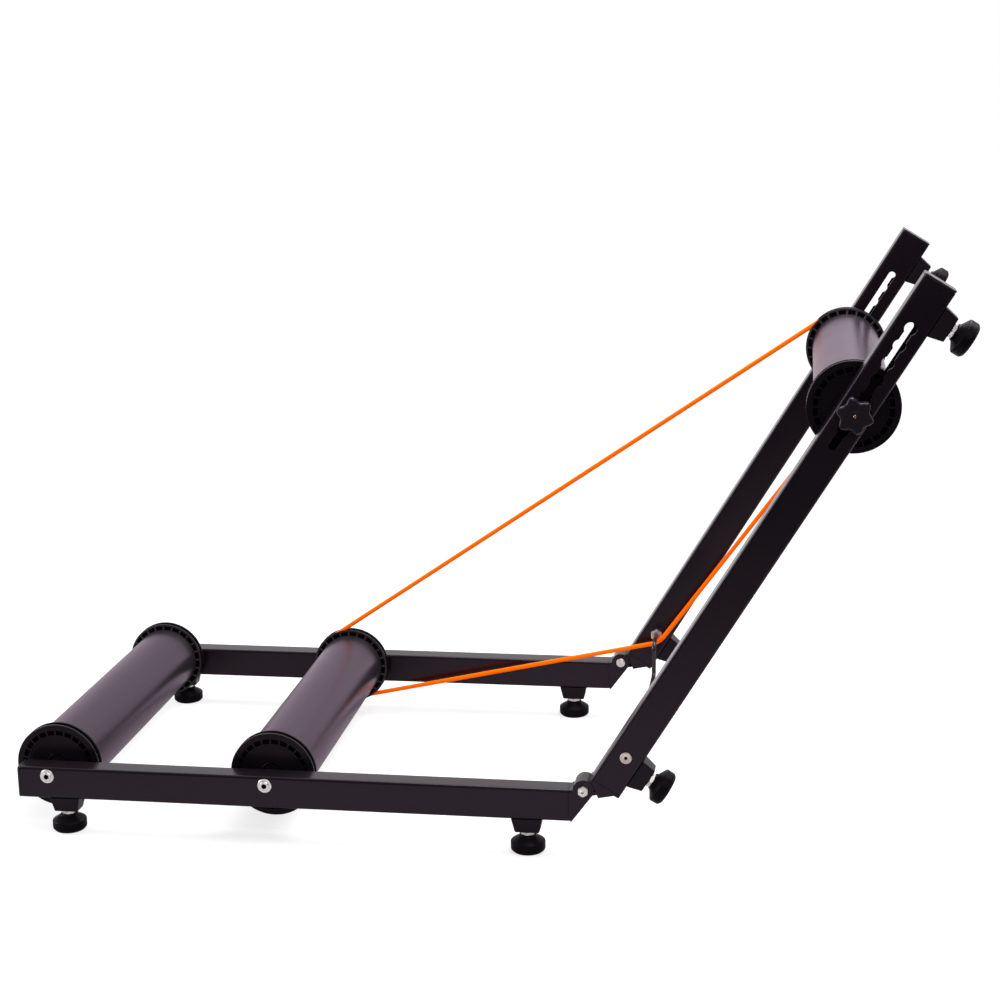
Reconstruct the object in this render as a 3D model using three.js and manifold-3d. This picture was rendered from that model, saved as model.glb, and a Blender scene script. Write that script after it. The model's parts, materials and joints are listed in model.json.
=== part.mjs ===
// Folding bike rollers: three drums in a hinged frame of two rectangular tubes a side.
// Millimetres, +Z up. The rear section lies level on its four feet; the front section is raised about the hinge.
// X runs along the rollers toward the front drum, +Y is the rider's left. The floor is Z = 0.

import * as THREE from 'three';
import { mergeVertices } from 'three/addons/utils/BufferGeometryUtils.js';
import Module from 'manifold-3d';

const wasm = await Module();
wasm.setup();

// Clearances and counts shared by all pieces
const seatGap = 0.3;
const runGap = 0.3;
const cutOverrun = 5;
const rimSides = 28;
const hubSides = 14;
const smallSides = 12;
const fewSides = 12;
const boltSides = 8;
const hexSides = 6;
const weldTolerance = 1e-4;

// Frame tube
const railWidth = 26;
const railHeight = 36;
const railWall = 2;
const railCorner = 3;
const frameHalfWidth = 231.5;

// Rear section, measured from the hinge pin
const middleAxleFromPin = 351;
const drumSpacing = 250;
const rearTipPastAxle = 35;
const axleAboveUnderside = 26.4;
const footDrop = 40;

// Hinge
const pinAboveRail = 0.6;
const knuckleRadius = 11.3;
const tongueWidth = 6;
const railEndFromPin = 16;
const flangeThickness = 3;
const plugLength = 22;
const pinRadius = 3;
const pinHeadRadius = 5.6;
const pinHeadHeight = 3.2;
const pinHeadTopShare = 0.7;
const pinNutRadius = 5.8;
const pinNutHeight = 5;
const pinTipLength = 1.6;
const frontGussetRise = 6;

// Front section, measured along the rail from the hinge pin
const raisedAngleDeg = 58.56;
const frontTipFromPin = 649.5;
const topNotchFromTip = 54.1;
const notchPitch = 20;
const notchCount = 7;
const notchInUseCount = 5;
const notchRadius = 6.5;
const slotHalfWidth = 4.2;
const slotPastNotches = 20;

// Tip plugs
const tipFlange = 2.5;
const tipPlugLength = 14;

// Feet
const rearFootFromTip = 52.5;
const hingeRearFootFromPin = 62;
const hingeFrontFootFromPin = 46;
const frontFootFromTip = 35.5;
const blockHeight = 16;
const blockTopLength = 34;
const blockFootLength = 27;
const blockFootWidth = 20;
const blockCorner = 2;
const studRadius = 4;
const studReach = 13;
const lockNutRadius = 7.6;
const lockNutHeight = 2.4;
const padRadius = 19;
const padRimHeight = 8.5;
const padEdge = 2.5;
const padNeckRadius = 9.3;
const padNeckHeight = 3.5;

// Drums
const tubeRadius = 40;
const tubeWall = 2.5;
const capRadius = 48;
const capWidth = 12;
const capSideGap = 7;
const capFlange = 2.7;
const grooveFloorRadius = 42;
const grooveFloorWidth = 5.8;
const spigotLength = 10;
const spigotWall = 3;
const capWeb = 3.5;
const faceRecess = 1.2;
const faceRecessRadius = 34.5;
const hubWall = 3.4;
const pocketCount = 24;
const pocketInnerRadius = 36;
const pocketOuterRadius = 41.4;
const pocketWidth = 7;
const pocketDepth = 2;
const bearingRadius = 14;
const bearingWidth = 8;
const bearingInset = 0.6;

// Axles and their fastenings
const axleRadius = 6;
const shoulderRadius = 8.5;
const axleBoltRadius = 3;
const axleBoltGrip = 18;
const axleBoltFlangeRadius = 7.6;
const axleBoltFlangeHeight = 1.4;
const axleBoltHeadRadius = 5.8;
const axleBoltHeadHeight = 2.8;
const boltHeadTopShare = 0.8;
const socketRadius = 2.9;
const socketDepth = 2;
const axleStudRadius = 3.9;
const axleStudReach = 13.5;

// Star knobs
const knobRadius = 19;
const knobLobeDepth = 4.3;
const knobLobes = 6;
const knobLobePoints = 5;
const knobHeadThickness = 11;
const knobEdge = 1.5;
const knobHubRadius = 10;
const knobHubHeight = 6;
const knobBossRadius = 6;
const knobTurnDeg = 43.4;

// Carry handle
const handleFromPin = 57.3;
const handleRodRadius = 2.75;
const handleBendRadius = 8;
const handleInset = 45;
const handleDrop = 40;
const sleeveRadius = 4.5;
const sleeveHeadRadius = 6.4;
const sleeveHeadHeight = 2.4;
const sleevePastNut = 1.5;
const sleeveSocketDepth = 1.6;
const handleNutRadius = 7.5;
const handleNutHeight = 5;

// Drive belt
const beltRadius = 2.75;
const beltSides = 6;
const beltStepDeg = 12;
const rodSides = 8;
const bendSteps = 3;

// Places worked out from the sizes above
const raised = THREE.MathUtils.degToRad(raisedAngleDeg);
const undersideZ = footDrop;
const pinZ = undersideZ + railHeight + pinAboveRail;
const railMidT = -pinAboveRail - railHeight / 2;
const railMidY = frameHalfWidth - railWidth / 2;
const innerFaceY = frameHalfWidth - railWidth;
const flangeFace = railEndFromPin - flangeThickness;
const topNotchS = frontTipFromPin - topNotchFromTip;
const frontAxleS = topNotchS - notchInUseCount * notchPitch;
const lowNotchS = topNotchS - (notchCount - 1) * notchPitch;
const slotLowS = lowNotchS - slotPastNotches;
const rearAxleX = -middleAxleFromPin - drumSpacing;
const rearTipX = rearAxleX - rearTipPastAxle;
const middleAxleX = -middleAxleFromPin;
const axleZ = undersideZ + axleAboveUnderside;
const capFaceY = innerFaceY - capSideGap;
const tubeHalfLength = capFaceY - capWidth - seatGap;
const beltY = capFaceY - capWidth / 2;
const beltRunRadius = grooveFloorRadius + runGap + beltRadius;
const sides = { left: 1, right: -1 };

const black = { color: 0x1f1b1f, roughness: 0.45, metalness: 0.3 };
const finishes = {
  frame: new THREE.MeshStandardMaterial(black),
  plastic: new THREE.MeshStandardMaterial({ color: 0x17151a, roughness: 0.5, metalness: 0 }),
  drum: new THREE.MeshStandardMaterial({ color: 0x4b4450, roughness: 0.35, metalness: 0.7 }),
  steel: new THREE.MeshStandardMaterial({ color: 0xb9b6b8, roughness: 0.3, metalness: 1 }),
  rubber: new THREE.MeshStandardMaterial({ color: 0x121214, roughness: 0.8, metalness: 0 }),
  belt: new THREE.MeshStandardMaterial({ color: 0xff6a10, roughness: 0.45, metalness: 0 }),
};

// Closed three.js geometry to a solid, with its faces turned outward
function solid(geometry) {
  let plain = geometry.clone();
  plain.deleteAttribute('normal');
  plain.deleteAttribute('uv');
  plain = mergeVertices(plain, weldTolerance);
  const place = plain.attributes.position;
  const corners = [];
  const [a, b, c] = [new THREE.Vector3(), new THREE.Vector3(), new THREE.Vector3()];
  let volume = 0;
  for (let i = 0; i < plain.index.count; i += 3) {
    const [p, q, r] = [0, 1, 2].map((k) => plain.index.getX(i + k));
    if (p === q || q === r || r === p) continue;
    corners.push(p, q, r);
    a.fromBufferAttribute(place, p);
    b.fromBufferAttribute(place, q);
    c.fromBufferAttribute(place, r);
    volume += a.dot(b.cross(c));
  }
  if (volume < 0) corners.reverse();
  return new wasm.Manifold(new wasm.Mesh({
    numProp: 3,
    vertProperties: new Float32Array(place.array),
    triVerts: new Uint32Array(corners),
  }));
}

// Solid back to a flat-shaded geometry
function geometryOf(body) {
  const mesh = body.asOriginal().simplify().getMesh();
  const geometry = new THREE.BufferGeometry();
  geometry.setAttribute('position', new THREE.BufferAttribute(mesh.vertProperties, 3));
  geometry.setIndex(new THREE.BufferAttribute(mesh.triVerts, 1));
  const flat = geometry.toNonIndexed();
  flat.computeVertexNormals();
  return flat;
}

function moved(body, x, y, z) {
  return body.translate([x, y, z]);
}

// Cylinder about Y from y = from to y = to
function rodY(radius, from, to, count = smallSides) {
  const bar = new THREE.CylinderGeometry(radius, radius, to - from, count);
  return moved(solid(bar), 0, (from + to) / 2, 0);
}

// Bore about Y, wide enough that its flats clear a round bar of the given radius
function boreY(radius, from, to, count = smallSides) {
  return rodY(radius / Math.cos(Math.PI / count), from, to, count);
}

// Cylinder about Z from z = from to z = to
function rodZ(radius, from, to, count = smallSides) {
  return rodY(radius, from, to, count).rotate([90, 0, 0]);
}

// Profile of [radius, height] pairs turned about Y; a ring closes on its first point
function turned(profile, count, ring = false) {
  const points = profile.map(([r, y]) => new THREE.Vector2(r, y));
  if (ring) points.push(points[0].clone());
  return solid(new THREE.LatheGeometry(points, count));
}

// Shape drawn in X and Z, extruded along Y about y = 0
function plateXZ(shape, width, arcSteps = 6) {
  const plate = new THREE.ExtrudeGeometry(shape, { depth: width, bevelEnabled: false, curveSegments: arcSteps });
  plate.rotateX(Math.PI / 2);
  plate.translate(0, width / 2, 0);
  return solid(plate);
}

function roundedRect(length, width, corner) {
  const [x, y] = [length / 2 - corner, width / 2 - corner];
  const shape = new THREE.Shape();
  shape.absarc(x, y, corner, 0, Math.PI / 2);
  shape.absarc(-x, y, corner, Math.PI / 2, Math.PI);
  shape.absarc(-x, -y, corner, Math.PI, 1.5 * Math.PI);
  shape.absarc(x, -y, corner, 1.5 * Math.PI, 2 * Math.PI);
  return shape;
}

// Bar of the given section along X from x = from to x = to, centred in Y and Z
function barX(height, width, corner, from, to) {
  const shape = roundedRect(height, width, corner);
  const bar = new THREE.ExtrudeGeometry(shape, { depth: to - from, bevelEnabled: false, curveSegments: 1 });
  bar.rotateY(Math.PI / 2);
  bar.translate(from, 0, 0);
  return solid(bar);
}

// Open tube of the frame's section
function railTube(from, to) {
  const outer = barX(railHeight, railWidth, railCorner, from, to);
  const [innerHeight, innerWidth] = [railHeight - 2 * railWall, railWidth - 2 * railWall];
  const bore = barX(innerHeight, innerWidth, railCorner - railWall, from - cutOverrun, to + cutOverrun);
  return outer.subtract(bore);
}

// Plug that fits inside the tube, along X
function plugX(from, to) {
  const lost = 2 * (railWall + seatGap);
  return barX(railHeight - lost, railWidth - lost, railCorner - railWall, from, to);
}

// Rear rail, with its axle bolt holes; x runs from the rear tip to the hinge, z = 0 at mid height
function rearRail() {
  const tube = railTube(rearTipX + tipFlange + seatGap, -railEndFromPin - seatGap);
  const holes = [rearAxleX, middleAxleX].map((x) => {
    const bore = boreY(axleBoltRadius + runGap, -railWidth, railWidth, boltSides);
    return moved(bore, x, 0, axleAboveUnderside - railHeight / 2);
  });
  return tube.subtract(wasm.Manifold.union(holes));
}

// Front rail: a plain slot through the inner wall, a slot with round notches through the outer wall
function frontRail(side) {
  const tube = railTube(railEndFromPin + seatGap, frontTipFromPin - tipFlange - seatGap);
  const track = new THREE.Shape();
  track.absarc(topNotchS, 0, slotHalfWidth, -Math.PI / 2, Math.PI / 2);
  track.absarc(slotLowS, 0, slotHalfWidth, Math.PI / 2, 1.5 * Math.PI);
  const slot = plateXZ(track, 2 * railWidth, 3);
  const notches = [];
  for (let i = 0; i < notchCount; i += 1) {
    const notch = rodY(notchRadius, 0, railWidth, fewSides);
    notches.push(moved(side > 0 ? notch : notch.mirror([0, 1, 0]), lowNotchS + i * notchPitch, 0, 0));
  }
  const sleeveHole = moved(boreY(sleeveRadius + runGap, -railWidth, railWidth), handleFromPin, 0, 0);
  return tube.subtract(wasm.Manifold.union([slot, sleeveHole, ...notches]));
}

// End plug with a flange as large as the tube; the flange's outer face is at x = 0, the plug points to -x
function tipCap() {
  const flange = barX(railHeight, railWidth, railCorner, -tipFlange, 0);
  return flange.add(plugX(-tipFlange - tipPlugLength, -tipFlange));
}

// Side outline of a hinge bracket: from the flange to the knuckle, its lower edge tangent to the knuckle
function bracketOutline(radius, rise) {
  const foot = new THREE.Vector2(flangeFace, -pinAboveRail - railHeight + rise);
  const touch = foot.angle() - Math.acos(radius / foot.length());
  const outline = new THREE.Shape();
  outline.moveTo(flangeFace + flangeThickness / 2, -pinAboveRail);
  outline.lineTo(flangeFace + flangeThickness / 2, foot.y);
  outline.lineTo(foot.x, foot.y);
  outline.absarc(0, 0, radius, touch, -2 * Math.PI, true);
  outline.lineTo(flangeFace, -pinAboveRail);
  return outline;
}

function bracketBase() {
  const flange = barX(railHeight, railWidth, railCorner, flangeFace, railEndFromPin);
  return moved(flange.add(plugX(railEndFromPin, railEndFromPin + plugLength)), 0, 0, railMidT);
}

const pinBore = () => boreY(pinRadius + runGap, -railWidth, railWidth, boltSides);

// Rear bracket: two ears either side of a slot for the tongue. Drawn pointing to +x, then mirrored
function rearBracket() {
  const ears = plateXZ(bracketOutline(knuckleRadius, 0), railWidth);
  const slotDepth = 2 * (knuckleRadius + runGap);
  const slotFace = (flangeFace + knuckleRadius) / 2;
  const slot = solid(new THREE.BoxGeometry(slotDepth + slotFace, tongueWidth + 2 * runGap, 4 * railHeight));
  const cutter = moved(slot, (slotFace - slotDepth) / 2, 0, 0);
  return ears.subtract(cutter).add(bracketBase()).subtract(pinBore()).mirror([1, 0, 0]);
}

// Front bracket: the tongue between the ears, and a body that clears the ears when the frame is folded flat
function frontBracket() {
  const outline = bracketOutline(knuckleRadius, frontGussetRise);
  const tongue = plateXZ(outline, tongueWidth);
  const earSpace = rodY(knuckleRadius + 2 * runGap, -railWidth, railWidth, rimSides);
  const earFoot = plateXZ(bracketOutline(knuckleRadius + runGap, -runGap), 2 * railWidth).mirror([1, 0, 0]);
  const body = plateXZ(outline, railWidth).subtract(earSpace.add(earFoot));
  return body.add(tongue).add(bracketBase()).subtract(pinBore());
}

// Hinge bolt and its nut, head toward +y, nut toward -y
function hingePin() {
  const half = railWidth / 2 + seatGap;
  const shank = rodY(pinRadius, -half - pinNutHeight - pinTipLength, half + pinHeadHeight / 2, boltSides);
  const head = turned([
    [0, half], [pinHeadRadius, half], [pinHeadRadius, half + pinHeadHeight / 2],
    [pinHeadRadius * pinHeadTopShare, half + pinHeadHeight], [0, half + pinHeadHeight],
  ], smallSides);
  const nut = rodY(pinNutRadius, -half - pinNutHeight, -half, hexSides);
  return shank.add(head).add(nut);
}

// Tapered block under a rail, its top at z = 0, with the foot's blind bore
function footBlock() {
  const top = roundedRect(blockTopLength, railWidth, blockCorner).getPoints(1);
  const low = roundedRect(blockFootLength, blockFootWidth, blockCorner).getPoints(1);
  const count = top.length;
  const corners = [];
  for (const p of top) corners.push(p.x, p.y, 0);
  for (const p of low) corners.push(p.x, p.y, -blockHeight);
  const faces = [];
  for (let i = 1; i < count - 1; i += 1) {
    faces.push(0, i, i + 1, count, count + i + 1, count + i);
  }
  for (let i = 0; i < count; i += 1) {
    const next = (i + 1) % count;
    faces.push(i, count + i, count + next, i, count + next, next);
  }
  const block = new THREE.BufferGeometry();
  block.setAttribute('position', new THREE.Float32BufferAttribute(corners, 3));
  block.setIndex(faces);
  const [foot, end] = [-blockHeight - cutOverrun, -blockHeight + studReach + runGap];
  const bore = boreY(studRadius + runGap, foot, end, hexSides).rotate([90, 0, 0]);
  return solid(block).subtract(bore);
}

// Levelling foot: pad, thin lock nut and stud, with the pad's sole at z = 0
const footHeight = footDrop - seatGap - blockHeight;
function levellingFoot() {
  const neckTop = footHeight - lockNutHeight - seatGap;
  const neckFoot = neckTop - padNeckHeight;
  const pad = turned([
    [0, 0], [padRadius - padEdge, 0], [padRadius, padEdge], [padRadius, padEdge + padRimHeight],
    [padNeckRadius, neckFoot], [padNeckRadius, neckTop], [0, neckTop],
  ], fewSides).rotate([90, 0, 0]);
  const nut = rodZ(lockNutRadius, neckTop, neckTop + lockNutHeight, hexSides);
  const stud = rodZ(studRadius, neckTop, footHeight + studReach, hexSides);
  return pad.add(nut).add(stud);
}

function drumTube() {
  const [outer, inner] = [tubeRadius, tubeRadius - tubeWall];
  const half = tubeHalfLength;
  return turned([[inner, -half], [outer, -half], [outer, half], [inner, half]], rimSides, true);
}

// End cap: outboard face at y = 0, the spigot that plugs the tube toward +y
function drumCap() {
  const groove = (capWidth - 2 * capFlange - grooveFloorWidth) / 2;
  const spigotRadius = tubeRadius - tubeWall - seatGap;
  const rimInner = spigotRadius - spigotWall / 2;
  const rim = turned([
    [rimInner, 0], [capRadius, 0], [capRadius, capFlange],
    [grooveFloorRadius, capFlange + groove], [grooveFloorRadius, capWidth - capFlange - groove],
    [capRadius, capWidth - capFlange], [capRadius, capWidth], [rimInner, capWidth],
  ], rimSides, true);
  const seatRadius = bearingRadius + seatGap;
  const seatDepth = bearingInset + bearingWidth + seatGap;
  const hubRadius = seatRadius + hubWall;
  const hubEnd = seatDepth + capWeb;
  const core = turned([
    [seatRadius, faceRecess], [faceRecessRadius, faceRecess], [faceRecessRadius, 0], [spigotRadius, 0],
    [spigotRadius, capWidth + spigotLength], [spigotRadius - spigotWall, capWidth + spigotLength],
    [spigotRadius - spigotWall, faceRecess + capWeb], [hubRadius, faceRecess + capWeb], [hubRadius, hubEnd],
    [shoulderRadius + runGap, hubEnd], [shoulderRadius + runGap, seatDepth], [seatRadius, seatDepth],
  ], hubSides, true);
  const pockets = [];
  const reach = pocketOuterRadius - pocketInnerRadius;
  for (let i = 0; i < pocketCount; i += 1) {
    const box = solid(new THREE.BoxGeometry(reach, 2 * pocketDepth, pocketWidth));
    const pocket = moved(box, (pocketInnerRadius + pocketOuterRadius) / 2, 0, 0);
    pockets.push(pocket.rotate([0, (360 / pocketCount) * (i + 0.5), 0]));
  }
  return rim.add(core).subtract(wasm.Manifold.union(pockets));
}

function bearing() {
  const half = bearingWidth / 2;
  const bore = axleRadius + runGap;
  return turned([[bore, -half], [bearingRadius, -half], [bearingRadius, half], [bore, half]], hubSides, true);
}

const bearingY = capFaceY - bearingInset - bearingWidth / 2;

// Axle body between the rails, with a shoulder at each end that spaces the bearing off the rail
function axleBody() {
  const end = innerFaceY - seatGap;
  const shoulder = bearingY + bearingWidth / 2 + seatGap;
  return rodY(axleRadius, -end, end)
    .add(rodY(shoulderRadius, shoulder, end))
    .add(rodY(shoulderRadius, -end, -shoulder));
}

// Rear or middle axle: bored at each end for its bolt
function fixedAxle() {
  const end = innerFaceY - seatGap;
  const bore = boreY(axleBoltRadius + runGap, end - axleBoltGrip - 2 * runGap, end + cutOverrun, boltSides);
  return axleBody().subtract(bore.add(bore.mirror([0, 1, 0])));
}

// Front axle: studs at both ends pass through the slots into the knobs
function frontAxle() {
  const tip = frameHalfWidth + axleStudReach;
  return axleBody().add(rodY(axleStudRadius, -tip, tip, boltSides));
}

// Button-head bolt along Y, the underside of its flange at y = 0, its head toward +y
function axleBolt() {
  const shank = rodY(axleBoltRadius, -railWidth - seatGap - axleBoltGrip, axleBoltFlangeHeight / 2, boltSides);
  const top = axleBoltFlangeHeight + axleBoltHeadHeight;
  const head = turned([
    [0, 0], [axleBoltFlangeRadius, 0], [axleBoltFlangeRadius, axleBoltFlangeHeight / 2],
    [axleBoltHeadRadius, axleBoltFlangeHeight], [axleBoltHeadRadius * boltHeadTopShare, top], [0, top],
  ], smallSides);
  return shank.add(head).subtract(rodY(socketRadius, top - socketDepth, top + cutOverrun, hexSides));
}

// Star knob, its seat on the rail at y = 0: boss toward -y, six-lobed head toward +y
function starKnob() {
  const mean = knobRadius - knobLobeDepth / 2;
  const outline = new THREE.Shape();
  const count = knobLobes * knobLobePoints;
  for (let i = 0; i < count; i += 1) {
    const angle = (i / count) * 2 * Math.PI;
    const reach = mean + (knobLobeDepth / 2) * Math.cos(knobLobes * angle);
    const [x, z] = [reach * Math.cos(angle), reach * Math.sin(angle)];
    if (i === 0) outline.moveTo(x, z);
    else outline.lineTo(x, z);
  }
  const head = moved(plateXZ(outline, knobHeadThickness), 0, knobHubHeight + knobHeadThickness / 2, 0);
  const hub = rodY(knobHubRadius, seatGap, knobHubHeight + knobEdge);
  const boss = rodY(knobBossRadius, -railWall + seatGap, seatGap + knobEdge);
  const bore = boreY(axleStudRadius + runGap, -cutOverrun, axleStudReach + runGap, boltSides);
  return head.add(hub).add(boss).subtract(bore).rotate([0, -knobTurnDeg, 0]);
}

// Rod bent along a route in one plane: straight runs joined by arcs, closed on itself or with flat ends
function bentRod(stations, across, radius, count, closed) {
  const corners = [];
  const last = stations.length;
  stations.forEach(({ at, out }) => {
    for (let k = 0; k < count; k += 1) {
      const angle = (k / count) * 2 * Math.PI;
      const corner = at.clone().addScaledVector(out, radius * Math.cos(angle));
      corner.addScaledVector(across, radius * Math.sin(angle));
      corners.push(corner.x, corner.y, corner.z);
    }
  });
  const faces = [];
  const rings = closed ? last : last - 1;
  for (let i = 0; i < rings; i += 1) {
    const [here, there] = [i * count, ((i + 1) % last) * count];
    for (let k = 0; k < count; k += 1) {
      const next = (k + 1) % count;
      faces.push(here + k, there + k, there + next, here + k, there + next, here + next);
    }
  }
  if (!closed) {
    const end = (last - 1) * count;
    for (let k = 1; k < count - 1; k += 1) {
      faces.push(0, k, k + 1, end, end + k + 1, end + k);
    }
  }
  const rod = new THREE.BufferGeometry();
  rod.setAttribute('position', new THREE.Float32BufferAttribute(corners, 3));
  rod.setIndex(faces);
  return solid(rod);
}

// Stations along an arc in a plane with axes u and v; out points away from the arc's centre, or toward it
function arcStations(centre, u, v, radius, from, to, steps, facing = 1) {
  const found = [];
  for (let i = 0; i <= steps; i += 1) {
    const angle = from + ((to - from) * i) / steps;
    const out = u.clone().multiplyScalar(Math.cos(angle)).addScaledVector(v, Math.sin(angle));
    const at = centre.clone().addScaledVector(out, radius);
    found.push({ at, out: out.multiplyScalar(facing) });
  }
  return found;
}

const unitX = new THREE.Vector3(1, 0, 0);
const unitY = new THREE.Vector3(0, 1, 0);
const unitZ = new THREE.Vector3(0, 0, 1);

// Carry handle: ends turned in the sleeves, legs hanging, grip bar between; the pivot line is y at z = 0
function carryHandle() {
  const end = frameHalfWidth - seatGap - sleeveHeadHeight;
  const leg = innerFaceY - handleInset;
  const bend = handleBendRadius;
  const upper = new THREE.Vector3(0, leg + bend, -bend);
  const lower = new THREE.Vector3(0, leg - bend, -handleDrop + bend);
  const half = [
    { at: new THREE.Vector3(0, end, 0), out: unitZ.clone() },
    ...arcStations(upper, unitY, unitZ, bend, Math.PI / 2, Math.PI, bendSteps),
    ...arcStations(lower, unitY, unitZ, bend, 0, -Math.PI / 2, bendSteps, -1),
  ];
  const other = half.map(({ at, out }) => ({
    at: new THREE.Vector3(at.x, -at.y, at.z), out: new THREE.Vector3(out.x, -out.y, out.z),
  })).reverse();
  return bentRod([...half, ...other], unitX, handleRodRadius, rodSides, false);
}

// Sleeve screw of the handle: head on the rail's outer face at y = 0, bored from its inner end for the rod
function handleSleeve() {
  const inner = -railWidth - seatGap - handleNutHeight - sleevePastNut;
  const bore = handleRodRadius + runGap;
  const depth = -seatGap;
  const top = seatGap + sleeveHeadHeight;
  const socket = rodY(socketRadius, top - sleeveSocketDepth, top + cutOverrun, hexSides);
  return turned([
    [0, depth], [bore, depth], [bore, inner], [sleeveRadius, inner], [sleeveRadius, seatGap],
    [sleeveHeadRadius, seatGap], [sleeveHeadRadius, seatGap + sleeveHeadHeight / 2],
    [sleeveHeadRadius * boltHeadTopShare, top], [0, top],
  ], smallSides).subtract(socket);
}

function handleNut() {
  const nut = rodY(handleNutRadius, 0, handleNutHeight, hexSides);
  return nut.subtract(boreY(sleeveRadius + runGap, -cutOverrun, handleNutHeight + cutOverrun));
}

// Centre of a front-section point in world X and Z
function worldXZ(s, t) {
  const [c, d] = [Math.cos(raised), Math.sin(raised)];
  return { x: s * c - t * d, z: pinZ + s * d + t * c };
}

// Belt: round the middle and front drums' left grooves, its lower run held down by the handle's rod
function driveBelt() {
  const front = worldXZ(frontAxleS, railMidT);
  const rod = worldXZ(handleFromPin, railMidT);
  const wheels = [
    { x: middleAxleX, z: axleZ, r: beltRunRadius },
    { x: front.x, z: front.z, r: beltRunRadius },
    { x: rod.x, z: rod.z, r: handleRodRadius + runGap + beltRadius },
  ];
  // Each run touches two circles. The belt goes clockwise seen from -Y, so every circle is on its right
  const runs = wheels.map((from, i) => {
    const to = wheels[(i + 1) % wheels.length];
    const [dx, dz] = [to.x - from.x, to.z - from.z];
    const length = Math.hypot(dx, dz);
    return Math.atan2(dz, dx) + Math.PI / 2 - Math.asin((from.r - to.r) / length);
  });
  const stations = [];
  wheels.forEach((wheel, i) => {
    const [arrive, leave] = [runs[(i + wheels.length - 1) % wheels.length], runs[i]];
    let sweep = leave - arrive;
    while (sweep > 0) sweep -= 2 * Math.PI;
    while (sweep < -2 * Math.PI) sweep += 2 * Math.PI;
    const steps = Math.ceil(-sweep / THREE.MathUtils.degToRad(beltStepDeg));
    const centre = new THREE.Vector3(wheel.x, 0, wheel.z);
    const arc = arcStations(centre, unitX, unitZ, wheel.r, arrive, arrive + sweep, steps);
    stations.push(...arc);
  });
  return bentRod(stations, unitY, beltRadius, beltSides, true);
}

function piece(name, body, finish, parent, [x, y, z] = [0, 0, 0]) {
  const mesh = new THREE.Mesh(geometryOf(body), finishes[finish]);
  mesh.name = name;
  mesh.position.set(x, y, z);
  parent.add(mesh);
  return mesh;
}

const part = new THREE.Group();
const rearSection = new THREE.Group();
const frontSection = new THREE.Group();
frontSection.position.z = pinZ;
frontSection.rotation.y = -raised;
part.add(rearSection, frontSection);

// Each side's frame pieces
for (const [side, sign] of Object.entries(sides)) {
  const y = sign * railMidY;
  const outward = (body) => (sign > 0 ? body : body.mirror([0, 1, 0]));
  const railZ = undersideZ + railHeight / 2;
  piece(`rear_rail_${side}`, rearRail(), 'frame', rearSection, [0, y, railZ]);
  piece(`rear_tip_cap_${side}`, tipCap().mirror([1, 0, 0]), 'plastic', rearSection, [rearTipX, y, railZ]);
  piece(`rear_hinge_bracket_${side}`, rearBracket(), 'frame', rearSection, [0, y, pinZ]);
  piece(`hinge_pin_${side}`, outward(hingePin().mirror([0, 1, 0])), 'steel', rearSection, [0, y, pinZ]);
  piece(`front_rail_${side}`, frontRail(sign), 'frame', frontSection, [0, y, railMidT]);
  piece(`front_tip_cap_${side}`, tipCap(), 'plastic', frontSection, [frontTipFromPin, y, railMidT]);
  piece(`front_hinge_bracket_${side}`, frontBracket(), 'frame', frontSection, [0, y, 0]);

  const faceY = sign * (frameHalfWidth + seatGap);
  for (const [place, x] of [['rear', rearAxleX], ['middle', middleAxleX]]) {
    piece(`axle_bolt_${place}_${side}`, outward(axleBolt()), 'steel', rearSection, [x, faceY, axleZ]);
  }
  const outerY = sign * frameHalfWidth;
  piece(`star_knob_${side}`, outward(starKnob()), 'plastic', frontSection, [frontAxleS, outerY, railMidT]);
  piece(`handle_screw_${side}`, outward(handleSleeve()), 'steel', frontSection, [handleFromPin, outerY, railMidT]);
  const nutY = sign * (innerFaceY - seatGap);
  const nut = outward(handleNut().mirror([0, 1, 0]));
  piece(`handle_nut_${side}`, nut, 'steel', frontSection, [handleFromPin, nutY, railMidT]);

  const blockDrop = railMidT - railHeight / 2 - seatGap;
  const soleDrop = blockDrop - blockHeight - footHeight;
  const feet = [
    ['rear', rearSection, rearTipX + rearFootFromTip, undersideZ - seatGap, 0],
    ['hinge_rear', rearSection, -hingeRearFootFromPin, undersideZ - seatGap, 0],
    ['hinge_front', frontSection, hingeFrontFootFromPin, blockDrop, soleDrop],
    ['front', frontSection, frontTipFromPin - frontFootFromTip, blockDrop, soleDrop],
  ];
  for (const [place, section, x, blockTop, sole] of feet) {
    piece(`foot_block_${place}_${side}`, footBlock(), 'plastic', section, [x, y, blockTop]);
    piece(`levelling_foot_${place}_${side}`, levellingFoot(), 'rubber', section, [x, y, sole]);
  }
}

// The three drums, each with its tube, caps, bearings and axle
const drums = [
  ['rear', rearSection, rearAxleX, axleZ, fixedAxle],
  ['middle', rearSection, middleAxleX, axleZ, fixedAxle],
  ['front', frontSection, frontAxleS, railMidT, frontAxle],
];
for (const [place, section, x, z, axle] of drums) {
  piece(`${place}_axle`, axle(), 'steel', section, [x, 0, z]);
  piece(`drum_tube_${place}`, drumTube(), 'drum', section, [x, 0, z]);
  for (const [side, sign] of Object.entries(sides)) {
    const cap = sign > 0 ? drumCap().mirror([0, 1, 0]) : drumCap();
    piece(`drum_cap_${place}_${side}`, cap, 'plastic', section, [x, sign * capFaceY, z]);
    piece(`bearing_${place}_${side}`, bearing(), 'steel', section, [x, sign * bearingY, z]);
  }
}

const pivot = worldXZ(handleFromPin, railMidT);
piece('carry_handle', carryHandle(), 'frame', part, [pivot.x, 0, pivot.z]);
piece('drive_belt', driveBelt(), 'belt', part, [0, beltY, 0]);

// The origin is under the middle of the whole object, on the floor
const extent = new THREE.Box3().setFromObject(part, true);
part.position.x = -(extent.min.x + extent.max.x) / 2;

export default part;
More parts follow.
